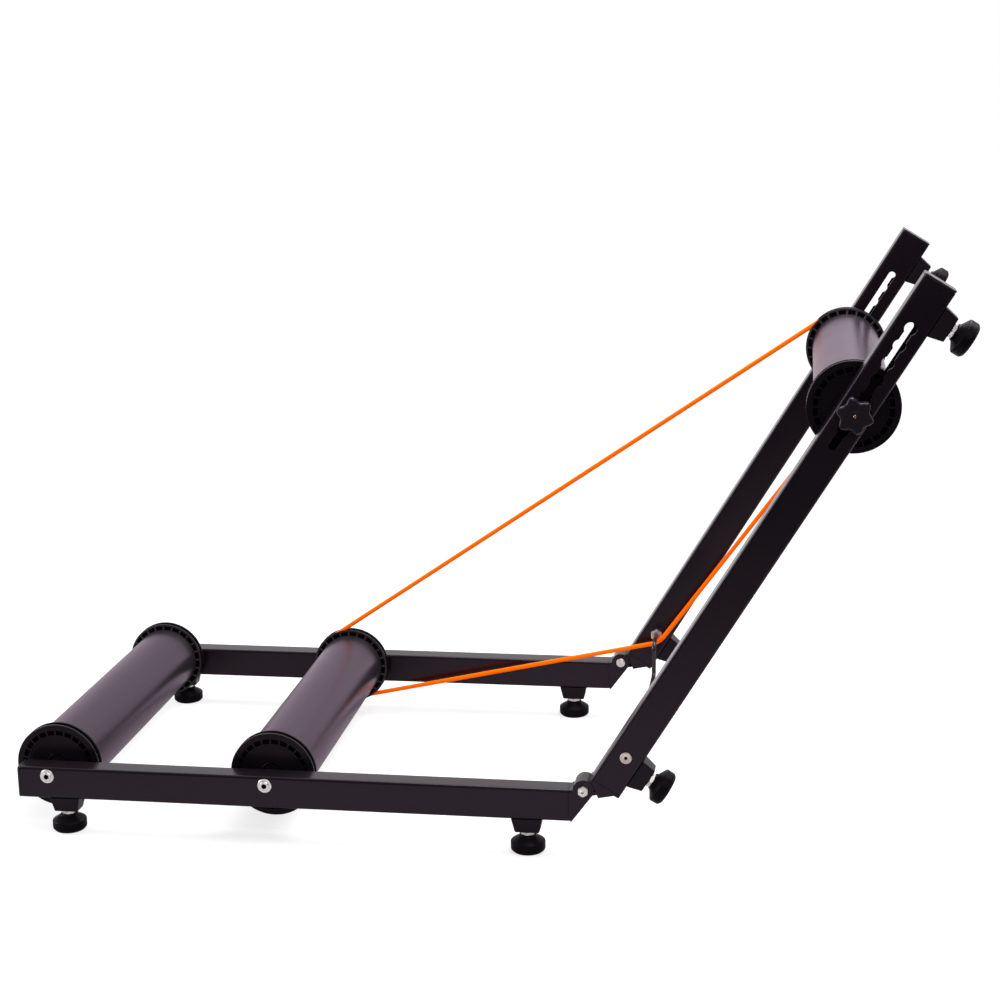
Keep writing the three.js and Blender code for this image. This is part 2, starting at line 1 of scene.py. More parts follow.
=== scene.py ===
# %% [markdown]
# # Folding bike rollers
# A set of bike rollers is a frame that carries three drums. The bicycle's rear wheel rests between the rear
# and middle drums, its front wheel rests on the front drum, and an orange belt makes the front drum turn
# with the others. Here the frame stands half folded: the rear section lies on its feet and the front
# section is raised.
#
# Each piece is drawn once, in millimetres about its own natural point, and is then copied to every place
# where the real one is fitted.

# %% Load the frame
import json
import math

import bmesh
import bpy
from mathutils import Matrix, Vector


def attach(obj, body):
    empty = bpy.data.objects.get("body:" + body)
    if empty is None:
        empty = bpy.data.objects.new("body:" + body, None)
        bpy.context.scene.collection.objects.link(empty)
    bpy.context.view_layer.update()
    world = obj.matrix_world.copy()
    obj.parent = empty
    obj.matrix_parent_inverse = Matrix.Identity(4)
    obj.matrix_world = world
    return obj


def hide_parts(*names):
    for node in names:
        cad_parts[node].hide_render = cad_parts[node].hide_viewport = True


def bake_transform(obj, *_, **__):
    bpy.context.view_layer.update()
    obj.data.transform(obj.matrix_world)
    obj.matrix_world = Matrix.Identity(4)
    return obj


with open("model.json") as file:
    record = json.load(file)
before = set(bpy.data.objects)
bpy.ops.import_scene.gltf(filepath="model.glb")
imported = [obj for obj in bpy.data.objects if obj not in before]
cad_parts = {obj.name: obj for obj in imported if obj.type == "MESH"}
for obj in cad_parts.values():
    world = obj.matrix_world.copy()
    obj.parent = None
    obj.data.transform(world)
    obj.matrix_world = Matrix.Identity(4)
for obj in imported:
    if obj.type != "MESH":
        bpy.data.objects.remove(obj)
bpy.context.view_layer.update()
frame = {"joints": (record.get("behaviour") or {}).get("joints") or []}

joint = {j["name"]: j for j in frame["joints"]}

# %% [markdown]
# ## Where things are
# The frame's joints say where the hinge pins, axles, feet and handle are, and the places of the pins, axles
# and handle come from them.
# The rear section is level. The front section is the same kind of rail, turned about the pins, so its
# pieces are drawn lying flat as well and the `raised` matrix lifts them.

# %% Places
MM = 0.001
pin = Vector(joint["frame_fold"]["pos_m"])
slide = Vector(joint["front_axle_slide"]["axis"])
raised_angle = math.atan2(slide.z, slide.x)
level = Matrix.Translation(pin)
raised = Matrix.Translation(pin) @ Matrix.Rotation(-raised_angle, 4, "Y")
SIDES = {"left": 1, "right": -1}


def along(section, point):
    """A point of the row frame, in millimetres from the pin and along a section's own axes."""
    return (section.inverted() @ Vector(point)) / MM


rear_axle = along(level, joint["rear_drum_spin"]["pos_m"])
middle_axle = along(level, joint["middle_drum_spin"]["pos_m"])
front_axle = along(raised, joint["front_drum_spin"]["pos_m"])
handle_pivot = along(raised, joint["handle_swing"]["pos_m"])
print("axles", [tuple(round(v, 1) for v in p) for p in (rear_axle, middle_axle, front_axle)])
print("raised by", round(math.degrees(raised_angle), 2))

# %% [markdown]
# ## The camera
# A long lens from the rider's right, a little above the rollers, turned slightly toward the front. Its
# place was worked out from the rails' edges, which run to known vanishing points.

# %% Camera
LENS_MM = 69.82
CAMERA_FROM_PIN = Vector((219.05, -2161.7, 784.3))
YAW, PITCH, ROLL = 0.1561, 0.2347, -0.0164


def aim(yaw, pitch, roll):
    """Turn a camera: yaw 0 looks along +Y, pitch tips it down."""
    look = Vector((-math.sin(yaw) * math.cos(pitch), math.cos(yaw) * math.cos(pitch), -math.sin(pitch)))
    right = Vector((math.cos(yaw), math.sin(yaw), 0))
    up = right.cross(look)
    across = right * math.cos(roll) + up * math.sin(roll)
    upward = up * math.cos(roll) - right * math.sin(roll)
    return Matrix((across, upward, -look)).transposed().to_4x4()


camera = bpy.data.objects.new("camera", bpy.data.cameras.new("camera"))
bpy.context.scene.collection.objects.link(camera)
camera.data.lens = LENS_MM
camera.data.sensor_width = 36
camera.data.clip_end = 50
camera.matrix_world = Matrix.Translation(pin + CAMERA_FROM_PIN * MM) @ aim(YAW, PITCH, ROLL)
bpy.context.scene.camera = camera
print("camera at", tuple(round(v, 3) for v in camera.matrix_world.translation))

# %% [markdown]
# ## The world
# Product pictures of black goods are lit by large soft boxes in front of a white wall. Black paint shows
# mostly what it mirrors, so the wall behind the rollers is bright and the room on the camera's side is
# dark: tops then shine and fronts stay black. The camera itself sees plain white in every direction. Three
# small helpers wire the world's nodes, and every material after it is wired with them too.

# %% World
scene = bpy.context.scene
scene.view_settings.view_transform = "Standard"


def node(tree, kind, inputs=(), **settings):
    """Add a shader node. Its inputs, by name or number, are sockets to link or plain values."""
    made = tree.nodes.new("ShaderNode" + kind)
    for key, value in settings.items():
        setattr(made, key, value)
    for key, value in dict(inputs).items():
        if isinstance(value, bpy.types.NodeSocket):
            tree.links.new(value, made.inputs[key])
        else:
            made.inputs[key].default_value = value
    return made


def maths(tree, operation, *values, clamp=False):
    """One step of arithmetic on sockets or numbers."""
    return node(tree, "Math", enumerate(values), operation=operation, use_clamp=clamp).outputs["Value"]


def ramp(tree, value, start, end, low=0, high=1):
    """Map a value from one span to another, clamped at both ends."""
    spans = {"Value": value, "From Min": start, "From Max": end, "To Min": low, "To Max": high}
    return node(tree, "MapRange", spans).outputs["Result"]


SKY_TO_OBJECT, WALL_BEHIND, ROOM_IN_FRONT = 0.50, 0.92, 0.15
ROOM_ENDS, WALL_STARTS = -0.2, 0.6
scene.world = bpy.data.worlds.new("studio")
scene.world.use_nodes = True
sky = scene.world.node_tree
sky.nodes.clear()
path = node(sky, "LightPath").outputs
direction = node(sky, "TexCoord").outputs["Generated"]
toward_wall = node(sky, "SeparateXYZ", {"Vector": direction}).outputs["Y"]
wall = ramp(sky, toward_wall, ROOM_ENDS, WALL_STARTS, ROOM_IN_FRONT, WALL_BEHIND)
shares = {"Factor": path["Is Glossy Ray"], "A": SKY_TO_OBJECT, "B": wall}
to_object = node(sky, "Mix", shares).outputs["Result"]
straight = maths(sky, "ADD", path["Is Camera Ray"], path["Is Transmission Ray"], clamp=True)
strength = node(sky, "Mix", {"Factor": straight, "A": to_object, "B": 1}).outputs["Result"]
background = node(sky, "Background", {"Color": (1, 1, 1, 1), "Strength": strength})
node(sky, "OutputWorld", {"Surface": background.outputs["Background"]})
print("world: wall", WALL_BEHIND, "room", ROOM_IN_FRONT)

# %% [markdown]
# ## Lamps
# One large soft box hangs overhead, closer to the raised front drum, which is the lightest of the three. A
# smaller one stands to the left and rounds the drums and caps, and a weak one fills the near side, so that
# the bolts and knobs facing the camera shine a little.


# %% Lamps
def soft_box(name, place, target, size, power):
    """A rectangular area lamp that faces its target, and that the camera doesn't see."""
    lamp = bpy.data.lights.new(name, "AREA")
    lamp.shape = "RECTANGLE"
    lamp.size, lamp.size_y = size
    lamp.energy = power
    box = bpy.data.objects.new(name, lamp)
    turn = (Vector(target) - Vector(place)).to_track_quat("-Z", "Y")
    box.matrix_world = Matrix.Translation(place) @ turn.to_matrix().to_4x4()
    box.visible_camera = False
    scene.collection.objects.link(box)


soft_box("overhead", (0.52, 0.32, 1.68), (0.2, 0, 0.1), (1.6, 1.5), 45)
soft_box("left_side", (-2.1, -0.1, 0.9), (0, 0, 0.3), (1.0, 1.2), 26)
soft_box("near_side", (0.9, -2.4, 2.0), (0, 0, 0.2), (1.4, 1.0), 16)

# %% [markdown]
# ## Floor
# The floor is pale and keeps its ordinary shading near the object, so the feet throw a soft shadow on it. A
# glow that only the camera sees lifts it to white, and takes over from the shading with distance. Behind
# the object the floor is white in reflections too: it is what the tops of the raised rails mirror.

# %% Floor
floor_shape = bmesh.new()
bmesh.ops.create_grid(floor_shape, x_segments=1, y_segments=1, size=12)
floor = bpy.data.objects.new("floor", bpy.data.meshes.new("floor"))
floor_shape.to_mesh(floor.data)
scene.collection.objects.link(floor)
sweep_white = bpy.data.materials.new("sweep_white")
sweep_white.use_nodes = True
floor.data.materials.append(sweep_white)
sweep = sweep_white.node_tree
sweep.nodes.clear()
FLOOR_NEAR, FLOOR_FAR, GLOW_NEAR, GLOW_FAR, GLOSS_BEHIND = 0.45, 0.1, 0.66, 1.0, 1.0
NEAR, FAR = 0.6, 1.8
BEHIND_START, BEHIND_END = 0.2, 1.6
path = node(sweep, "LightPath").outputs
where = node(sweep, "TexCoord").outputs["Object"]
away = node(sweep, "VectorMath", {0: where}, operation="LENGTH").outputs["Value"]
behind = node(sweep, "SeparateXYZ", {"Vector": where}).outputs["Y"]
pale = ramp(sweep, away, NEAR, FAR, FLOOR_NEAR, FLOOR_FAR)
diffuse = node(sweep, "BsdfDiffuse", {"Color": pale}).outputs["BSDF"]
white = maths(sweep, "MULTIPLY", ramp(sweep, away, NEAR, FAR, GLOW_NEAR, GLOW_FAR), path["Is Camera Ray"])
gloss = ramp(sweep, behind, BEHIND_START, BEHIND_END, 0, GLOSS_BEHIND)
gloss = maths(sweep, "MULTIPLY", gloss, path["Is Glossy Ray"])
glow = node(sweep, "Emission", {"Strength": maths(sweep, "ADD", white, gloss)}).outputs["Emission"]
both = node(sweep, "AddShader", {0: diffuse, 1: glow}).outputs["Shader"]
node(sweep, "OutputMaterial", {"Surface": both})
print("floor", tuple(round(v, 1) for v in floor.dimensions))

# %% [markdown]
# ## Surface effects that several finishes share
# No real surface is even. Four small node groups carry what these finishes have in common: a fine grain
# that breaks up the gloss, straight drawing marks left by a die or a lathe, a thin film of dust, and the
# rubbed look of edges. Each is built once and gets its own numbers in each material.


# %% Helpers for the shared groups
def group(name, inputs, outputs):
    """Start a shader node group with named sockets."""
    tree = bpy.data.node_groups.new(name, "ShaderNodeTree")
    for label, kind, start in inputs:
        socket = tree.interface.new_socket(label, in_out="INPUT", socket_type=kind)
        socket.default_value = start
    for label, kind in outputs:
        tree.interface.new_socket(label, in_out="OUTPUT", socket_type=kind)
    return tree, tree.nodes.new("NodeGroupInput").outputs, tree.nodes.new("NodeGroupOutput").inputs


def mixed(tree, factor, first, second):
    """Mix two colours, each a socket or plain numbers."""
    mix = node(tree, "Mix", {"Factor": factor}, data_type="RGBA")
    for socket, colour in zip([s for s in mix.inputs if s.type == "RGBA"], (first, second)):
        if isinstance(colour, bpy.types.NodeSocket):
            tree.links.new(colour, socket)
        else:
            socket.default_value = (*colour, 1)
    return [s for s in mix.outputs if s.type == "RGBA"][0]


def noise(tree, scale, detail, roughness=0.5, vector=None):
    """Noise on the piece's own coordinates, with a scale in cells a metre."""
    vector = vector or node(tree, "TexCoord").outputs["Object"]
    settings = {"Vector": vector, "Scale": scale, "Detail": detail, "Roughness": roughness}
    return node(tree, "TexNoise", settings).outputs[0]


FLOAT, COLOUR = "NodeSocketFloat", "NodeSocketColor"

# %% [markdown]
# ## Grain and drawing marks
# Grain is fine noise. Its height goes to a Bump node, and together with a broad, cloudy noise it makes the
# gloss wander. The die that draws a tube leaves straight lines: the same kind of noise, stretched sixty
# times along Y.

# %% Grain and drawing marks
CLOUDS_PER_METRE, STREAK_LENGTH = 18, 60


def grain_group():
    """Fine grain: a height for a Bump node, and a roughness that wanders about its middle value."""
    tree, given, result = group(
        "fine_grain",
        [("Size mm", FLOAT, 0.5), ("Roughness", FLOAT, 0.5), ("Spread", FLOAT, 0.1)],
        [("Roughness", FLOAT), ("Height", FLOAT)],
    )
    fine = noise(tree, maths(tree, "DIVIDE", 1 / MM, given["Size mm"]), 3)
    both = maths(tree, "ADD", fine, noise(tree, CLOUDS_PER_METRE, 4))
    centred = maths(tree, "SUBTRACT", both, 1.0)
    rough = maths(tree, "MULTIPLY_ADD", centred, given["Spread"], given["Roughness"], clamp=True)
    tree.links.new(rough, result["Roughness"])
    tree.links.new(fine, result["Height"])
    return tree


def drawn_group():
    """Drawing marks: noise stretched along Y, as streaks in a mask and a height."""
    tree, given, result = group(
        "drawn_marks",
        [("Pitch mm", FLOAT, 0.4)],
        [("Mask", FLOAT), ("Height", FLOAT)],
    )
    where = node(tree, "TexCoord").outputs["Object"]
    stretched = node(tree, "VectorMath", {0: where, 1: (1, 1 / STREAK_LENGTH, 1)}, operation="MULTIPLY")
    per_mm = maths(tree, "DIVIDE", 1 / MM, given["Pitch mm"])
    streak = noise(tree, per_mm, 5, 0.65, stretched.outputs["Vector"])
    tree.links.new(ramp(tree, streak, 0.35, 0.65), result["Mask"])
    tree.links.new(streak, result["Height"])
    return tree


GROUPS = {"grain": grain_group(), "drawn": drawn_group()}
print("groups", [g.name for g in GROUPS.values()])

# %% [markdown]
# ## Dust and rubbed edges
# Dust settles on what faces up and lies in patches, so its amount is noise times the upward part of the
# normal. Paint rubs off at edges. A Bevel node rounds the normal near an edge, so where its normal leaves
# the true one there is an edge, and noise breaks the rubbed line up.

# %% Dust and rubbed edges
DUST_COLOUR = (0.3, 0.27, 0.29, 1)
DUST_PER_METRE, RUBS_PER_METRE = 9, 70
EDGE_STARTS, EDGE_FULL = 0.985, 0.86


def dust_group():
    """A colour with a thin film of pale dust on what faces up and in broad patches."""
    tree, given, result = group(
        "dust_film",
        [("Color", COLOUR, (0.02, 0.02, 0.02, 1)), ("Dust", COLOUR, DUST_COLOUR), ("Amount", FLOAT, 0.03)],
        [("Color", COLOUR)],
    )
    normal = node(tree, "NewGeometry").outputs["Normal"]
    upward = ramp(tree, node(tree, "SeparateXYZ", {"Vector": normal}).outputs["Z"], -0.2, 1, 0.25, 1)
    film = maths(tree, "MULTIPLY", noise(tree, DUST_PER_METRE, 6, 0.7), upward)
    amount = maths(tree, "MULTIPLY", film, given["Amount"])
    tree.links.new(mixed(tree, amount, given["Color"], given["Dust"]), result["Color"])
    return tree


def wear_group():
    """Edge wear: high where a rounded normal leaves the true one, and broken up by noise."""
    tree, given, result = group(
        "edge_wear",
        [("Width mm", FLOAT, 0.8), ("Amount", FLOAT, 0.4)],
        [("Mask", FLOAT)],
    )
    width = maths(tree, "MULTIPLY", given["Width mm"], MM)
    rounded = node(tree, "Bevel", {"Radius": width}, samples=4).outputs["Normal"]
    normal = node(tree, "NewGeometry").outputs["Normal"]
    agree = node(tree, "VectorMath", {0: rounded, 1: normal}, operation="DOT_PRODUCT").outputs["Value"]
    broken = ramp(tree, noise(tree, RUBS_PER_METRE, 6, 0.7), 0.42, 0.62)
    rubbed = maths(tree, "MULTIPLY", ramp(tree, agree, EDGE_STARTS, EDGE_FULL), broken)
    tree.links.new(maths(tree, "MULTIPLY", rubbed, given["Amount"]), result["Mask"])
    return tree


GROUPS.update(dust=dust_group(), wear=wear_group())
print("groups", [g.name for g in GROUPS.values()])


# %% [markdown]
# ## How a finish is wired
# Paint, plastic, rubber and metal differ in a few numbers only, so one function wires the shared groups
# into a Principled BSDF: dust and rubbed edges change its colour, grain its roughness and its normal.


# %% A finish
def use_group(tree, name, **values):
    """Place a shared group in a material, set its inputs and hand back its outputs."""
    settings = {label.replace("_", " "): value for label, value in values.items()}
    return node(tree, "Group", settings, node_tree=GROUPS[name]).outputs


FINISH = {}
RUBBED_GLOSS = -0.12
MARK_RELIEF, MARK_DEPTH = 0.06, 0.1 * MM


def finish(name, colour, rough, spread=0.08, grain_mm=0.5, bump=0.12, metal=0.0, dust=0.03, marks=0.0,
           wear=0.3, worn=3.0, specular=0.5, tint=(1, 1, 1), glow=0.0):
    """A finish: grain in the gloss, streaks along Y, a film of dust and rubbed edges over one colour."""
    material = bpy.data.materials.new(name)
    material.use_nodes = True
    tree = material.node_tree
    shader = tree.nodes["Principled BSDF"].inputs
    shader["Metallic"].default_value = metal
    shader["Specular IOR Level"].default_value = specular
    shader["Specular Tint"].default_value = (*tint, 1)
    shader["Emission Color"].default_value = (*colour, 1)
    # A painted glow: only the belt has one, and it lifts the belt's shaded side.
    shader["Emission Strength"].default_value = glow
    grain = use_group(tree, "grain", Size_mm=grain_mm, Roughness=rough, Spread=spread)
    rubbed = use_group(tree, "wear", Amount=wear)["Mask"]
    relief = {"Strength": bump, "Distance": grain_mm * MM, "Height": grain["Height"]}
    normal = node(tree, "Bump", relief).outputs["Normal"]
    shade = use_group(tree, "dust", Color=(*colour, 1), Amount=dust)["Color"]
    if marks:
        drawn = use_group(tree, "drawn")
        shade = mixed(tree, drawn["Mask"], shade, [min(1, c * (1 + marks)) for c in colour])
        relief = {"Strength": MARK_RELIEF, "Distance": MARK_DEPTH, "Height": drawn["Height"]}
        normal = node(tree, "Bump", {**relief, "Normal": normal}).outputs["Normal"]
    shade = mixed(tree, rubbed, shade, [min(1, c * worn + 0.02) for c in colour])
    tree.links.new(normal, shader["Normal"])
    tree.links.new(shade, shader["Base Color"])
    polished = maths(tree, "MULTIPLY_ADD", rubbed, RUBBED_GLOSS, grain["Roughness"])
    tree.links.new(polished, shader["Roughness"])
    FINISH[name] = material


# %% [markdown]
# ## Finishes
# The frame is powder coated in a near-black with a touch of plum, the drums are anodised a dark grey plum
# with fine drawing marks along the tube, the caps, blocks and knobs are moulded in black plastic, and the
# fastenings are zinc plated. Two finishes are painted light: a near-black painted shade for the insides of
# pockets and holes, and a lighter black as a painted highlight on the ribs of the caps' shoulders. The belt's
# orange is so deep that a little glow, a painted light, keeps its shaded side from turning brown.

# %% Finishes
PLUM = (1.0, 0.78, 0.97)
finish("powder_coat", (0.0042, 0.0018, 0.0038), 0.24, grain_mm=0.8, bump=0.025, specular=0.34, tint=PLUM)
finish("rod_coat", (0.012, 0.010, 0.012), 0.22, grain_mm=0.6, bump=0.05)
finish("end_plug", (0.0060, 0.0036, 0.0058), 0.30, grain_mm=0.4, bump=0.08, specular=0.6, tint=PLUM)
finish("moulded_black", (0.0088, 0.0064, 0.0088), 0.34, grain_mm=0.35, bump=0.08, specular=0.14, tint=PLUM)
finish("knob_black", (0.0066, 0.0050, 0.0070), 0.30, grain_mm=0.35, bump=0.06, specular=0.35, tint=PLUM)
finish("cap_black", (0.0048, 0.0034, 0.0050), 0.26, grain_mm=0.4, bump=0.05, specular=0.14, tint=PLUM)
# Painted highlight: a lighter, glossier black for the ribs of the caps' shoulders, which catch the light.
finish("rib_painted_highlight", (0.0150, 0.0110, 0.0150), 0.45, grain_mm=0.4, bump=0.06, tint=PLUM)
# Painted shade: a near-black that stands for the shade deep in pockets, sockets and holes.
finish("painted_shade_black", (0.0010, 0.0008, 0.0010), 0.7, wear=0, dust=0.0, specular=0.05)
finish("anodised", (0.046, 0.038, 0.048), 0.32, grain_mm=0.3, bump=0.05, metal=0.72, marks=0.15, wear=0.15,
       worn=1.3, tint=PLUM)
finish("zinc", (0.94, 0.88, 0.87), 0.36, spread=0.12, bump=0.05, metal=1.0, dust=0.02, worn=1.1)
finish("screw_zinc", (0.84, 0.67, 0.64), 0.38, bump=0.05, metal=1.0, dust=0.02, worn=1.1)
finish("turned_steel", (0.03, 0.028, 0.021), 0.42, grain_mm=0.4, bump=0.05, metal=1.0, marks=0.3)
finish("race_steel", (0.012, 0.011, 0.009), 0.45, grain_mm=0.4, bump=0.03, metal=1.0, worn=1.5)
finish("shield_black", (0.003, 0.003, 0.003), 0.5, grain_mm=0.3, bump=0.1, specular=0.2)
finish("foot_rubber", (0.0020, 0.0015, 0.0022), 0.36, grain_mm=0.3, bump=0.12, specular=0.07, tint=PLUM)
finish("brass", (0.90, 0.45, 0.25), 0.3, grain_mm=0.3, bump=0.05, metal=1.0, dust=0.0, worn=1.1)
# Its glow is painted light that lifts the shaded side of the belt.
finish("belt_orange", (1.0, 0.13, 0.0), 0.5, bump=0.05, dust=0.0, wear=0, specular=0.15, tint=(1.0, 0.5, 0.1),
       glow=0.22)
print("finishes", sorted(FINISH))


# %% [markdown]
# ## Round and square shapes
# Nearly every piece starts as one of two shapes. What a workshop would turn is a profile that `lathe` spins
# about the Y axis, and `rod` is the plainest of these. What it would saw or mould square is a `block`, and
# a `bar` is a block along X with its four long edges rounded.


# %% Round and square shapes
def lathe(profile, steps=64, ring=False):
    """Spin (radius, along) points about Y. With ring the profile closes on its first point."""
    shape = bmesh.new()
    points = [shape.verts.new((r, y, 0)) for r, y in profile]
    pairs = list(zip(points, points[1:])) + ([(points[-1], points[0])] if ring else [])
    edges = [shape.edges.new(pair) for pair in pairs]
    bmesh.ops.spin(shape, geom=points + edges, cent=(0, 0, 0), axis=(0, 1, 0), angle=2 * math.pi, steps=steps,
                   use_merge=True)
    bmesh.ops.remove_doubles(shape, verts=shape.verts, dist=1e-4)
    bmesh.ops.recalc_face_normals(shape, faces=shape.faces)
    return shape


def rod(radius, y, steps=48):
    """A plain round bar along Y."""
    return lathe([(0, y[0]), (radius, y[0]), (radius, y[1]), (0, y[1])], steps)


def block(x, y, z):
    """A box from its three (low, high) spans."""
    shape = bmesh.new()
    middle = Vector([(a + b) / 2 for a, b in (x, y, z)])
    size = Vector([b - a for a, b in (x, y, z)])
    bmesh.ops.create_cube(shape, size=1, matrix=Matrix.Translation(middle) @ Matrix.Diagonal((*size, 1)))
    return shape


def round_edges(shape, axis, radius, segments=4):
    """Bevel the edges that run along one axis."""
    chosen = [e for e in shape.edges if abs((e.verts[0].co - e.verts[1].co).normalized()[axis]) > 0.9]
    bmesh.ops.bevel(shape, geom=chosen, offset=radius, offset_type="OFFSET", segments=segments, profile=0.5,
                    affect="EDGES", clamp_overlap=True, material=-1)
    return shape


def bar(x, height, width, corner):
    """A length of rounded rectangular section along X."""
    return round_edges(block(x, (-width / 2, width / 2), (-height / 2, height / 2)), 0, corner)


# %% [markdown]
# ## Cutting, joining and softening
# `carve` cuts or joins two shapes through a Boolean modifier, as a mill or a weld would. `soften` then
# breaks the hard edges with a small bevel, because a perfectly sharp edge never catches the light the way a
# real one does.


# %% Cutting, joining and softening
def soften(shape, width, angle=40, segments=3):
    """Bevel every edge that is sharper than an angle."""
    bmesh.ops.dissolve_limit(shape, angle_limit=math.radians(0.5), verts=shape.verts, edges=shape.edges)
    sharp = [e for e in shape.edges if len(e.link_faces) == 2 and e.calc_face_angle(0) > math.radians(angle)]
    bmesh.ops.bevel(shape, geom=sharp, offset=width, offset_type="OFFSET", segments=segments, profile=0.5,
                    affect="EDGES", clamp_overlap=True, material=-1)
    return shape


def carve(shape, cutter, way="DIFFERENCE"):
    """Cut, join or intersect two shapes with a Boolean modifier, and hand back the result."""
    pair = []
    for source in (shape, cutter):
        mesh = bpy.data.meshes.new("carve")
        source.to_mesh(mesh)
        source.free()
        pair.append(bpy.data.objects.new("carve", mesh))
        scene.collection.objects.link(pair[-1])
    step = pair[0].modifiers.new("carve", "BOOLEAN")
    step.operation, step.solver, step.object = way, "EXACT", pair[1]
    result = bmesh.new()
    result.from_object(pair[0], bpy.context.evaluated_depsgraph_get())
    for thing in pair:
        mesh = thing.data
        bpy.data.objects.remove(thing)
        bpy.data.meshes.remove(mesh)
    return result


def shifted(shape, x=0, y=0, z=0):
    """Move a shape and hand it back."""
    bmesh.ops.translate(shape, vec=(x, y, z), verts=shape.verts)
    return shape


def mirrored(shape, signs):
    """The mirror image of a shape. A mirror turns every face inside out, so they are turned back."""
    shape.transform(Matrix.Diagonal((*signs, 1)))
    bmesh.ops.reverse_faces(shape, faces=shape.faces)
    return shape


def joined(*shapes):
    """Several closed shapes in one, without a cut between them."""
    mesh = bpy.data.meshes.new("joined")
    whole = bmesh.new()
    for shape in shapes:
        shape.to_mesh(mesh)
        whole.from_mesh(mesh)
        shape.free()
    bpy.data.meshes.remove(mesh)
    return whole


# %% [markdown]
# ## Putting a piece in its place
# `put` copies a drawing to one place. Pieces on the right are the mirror image of those on the left, so Y
# is outward in every drawing. The copy's place goes into its mesh, it rides on its body of the frame, and
# it stands for the frame's own plain piece. `put_both` does so on the left and on the right.


# %% Placing
def put(drawing, name, finishes, body, replaced, section, x=0, y=0, z=0, side=1, smooth=38):
    """Copy a drawing to a place in a section, for the given side."""
    shape = drawing.copy()
    place = section @ Matrix.Translation(Vector((x, side * y, z)) * MM)
    shape.transform(place @ Matrix.Diagonal((MM, side * MM, MM, 1)))
    if side < 0:
        bmesh.ops.reverse_faces(shape, faces=shape.faces)
    mesh = bpy.data.meshes.new(name)
    shape.to_mesh(mesh)
    shape.free()
    for key in finishes:
        mesh.materials.append(FINISH[key])
    mesh.shade_smooth()
    mesh.set_sharp_from_angle(angle=math.radians(smooth))
    piece = bpy.data.objects.new(name, mesh)
    scene.collection.objects.link(piece)
    piece.modifiers.new("even_shading", "WEIGHTED_NORMAL").keep_sharp = True
    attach(piece, body)
    if replaced:
        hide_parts(*replaced)
    return piece


def put_both(drawing, name, finishes, body, replaced, section, x, y, z, smooth=38):
    """Copy a drawing to both sides. The side ends the piece's name and the replaced one's."""
    for side, sign in SIDES.items():
        put(drawing, f"{name}_{side}", finishes, body, [f"{replaced}_{side}"], section, x, y, z, sign, smooth)


# %% [markdown]
# ## Rails
# Both sections are made of the same rectangular tube. The rear rails are plain. Each front rail has a slot
# near its tip for the front axle: the outer wall has round notches that the knob's boss drops into, and the
# inner wall has a plain slot of the axle's width. The tube is cut from a solid bar, then the slot is cut
# through it.

# %% Rails
RAIL_WIDTH, RAIL_HEIGHT, RAIL_WALL, RAIL_CORNER = 26, 36, 2, 3
RAIL_MID_Y = 218.5
RAIL_TOP = -0.6
REAR_TIP, RAIL_END, FRONT_TIP = -636, 16, 649.5
SEAT = 0.3
TIP_FLANGE = 2.5
NOTCH_PITCH, NOTCH_COUNT, NOTCH_RADIUS, SLOT_HALF, SLOT_BELOW = 20, 7, 6.5, 4.2, 20
TOP_NOTCH = FRONT_TIP - 54.1
rail_mid = RAIL_TOP - RAIL_HEIGHT / 2


def tube(x):
    """A hollow rail over an (end, end) span."""
    outer = bar(x, RAIL_HEIGHT, RAIL_WIDTH, RAIL_CORNER)
    inside = [size - 2 * RAIL_WALL for size in (RAIL_HEIGHT, RAIL_WIDTH)]
    bore = bar((x[0] - 5, x[1] + 5), *inside, RAIL_CORNER - RAIL_WALL)
    return carve(outer, bore)


rear_rail = tube((REAR_TIP + TIP_FLANGE + SEAT, -RAIL_END - SEAT))
front_rail = tube((RAIL_END + SEAT, FRONT_TIP - TIP_FLANGE - SEAT))
low_notch = TOP_NOTCH - (NOTCH_COUNT - 1) * NOTCH_PITCH
slot_span = (low_notch - SLOT_BELOW - SLOT_HALF, TOP_NOTCH + SLOT_HALF)
slot = block(slot_span, (-RAIL_WIDTH, RAIL_WIDTH), (-SLOT_HALF, SLOT_HALF))
front_rail = carve(front_rail, round_edges(slot, 1, SLOT_HALF * 0.998, 10))
for i in range(NOTCH_COUNT):
    notch = shifted(rod(NOTCH_RADIUS, (0, RAIL_WIDTH), 40), low_notch + i * NOTCH_PITCH)
    front_rail = carve(front_rail, notch)
for rail in (rear_rail, front_rail):
    soften(rail, 0.35, angle=35)
in_tube = (0, RAIL_MID_Y, rail_mid)
put_both(rear_rail, "rail_rear", ["powder_coat"], "rear_frame", "rear_rail", level, *in_tube)
put_both(front_rail, "rail_front", ["powder_coat"], "front_frame", "front_rail", raised, *in_tube)
print("front rail faces", len(front_rail.faces))

# %% [markdown]
# ## End plugs
# A moulded plug closes each open tube end. Only its flange shows, with softened edges.

# %% End plugs
plug_flange = soften(bar((-TIP_FLANGE, 0), RAIL_HEIGHT, RAIL_WIDTH, RAIL_CORNER), 0.7)
PLUG_DEPTH, PLUG_GAP = 14, 0.3
plug_size = [size - 2 * (RAIL_WALL + PLUG_GAP) for size in (RAIL_HEIGHT, RAIL_WIDTH)]
plug_body = bar((-TIP_FLANGE - PLUG_DEPTH, -TIP_FLANGE), *plug_size, 1)
end_plug = joined(plug_flange, plug_body)
turned_plug = end_plug.copy()
turned_plug.transform(Matrix.Rotation(math.pi, 4, "Z"))
put_both(turned_plug, "plug_rear", ["end_plug"], "rear_frame", "rear_tip_cap", level,
         REAR_TIP, RAIL_MID_Y, rail_mid)
put_both(end_plug, "plug_front", ["end_plug"], "front_frame", "front_tip_cap", raised,
         FRONT_TIP, RAIL_MID_Y, rail_mid)
print("end plug faces", len(end_plug.faces))

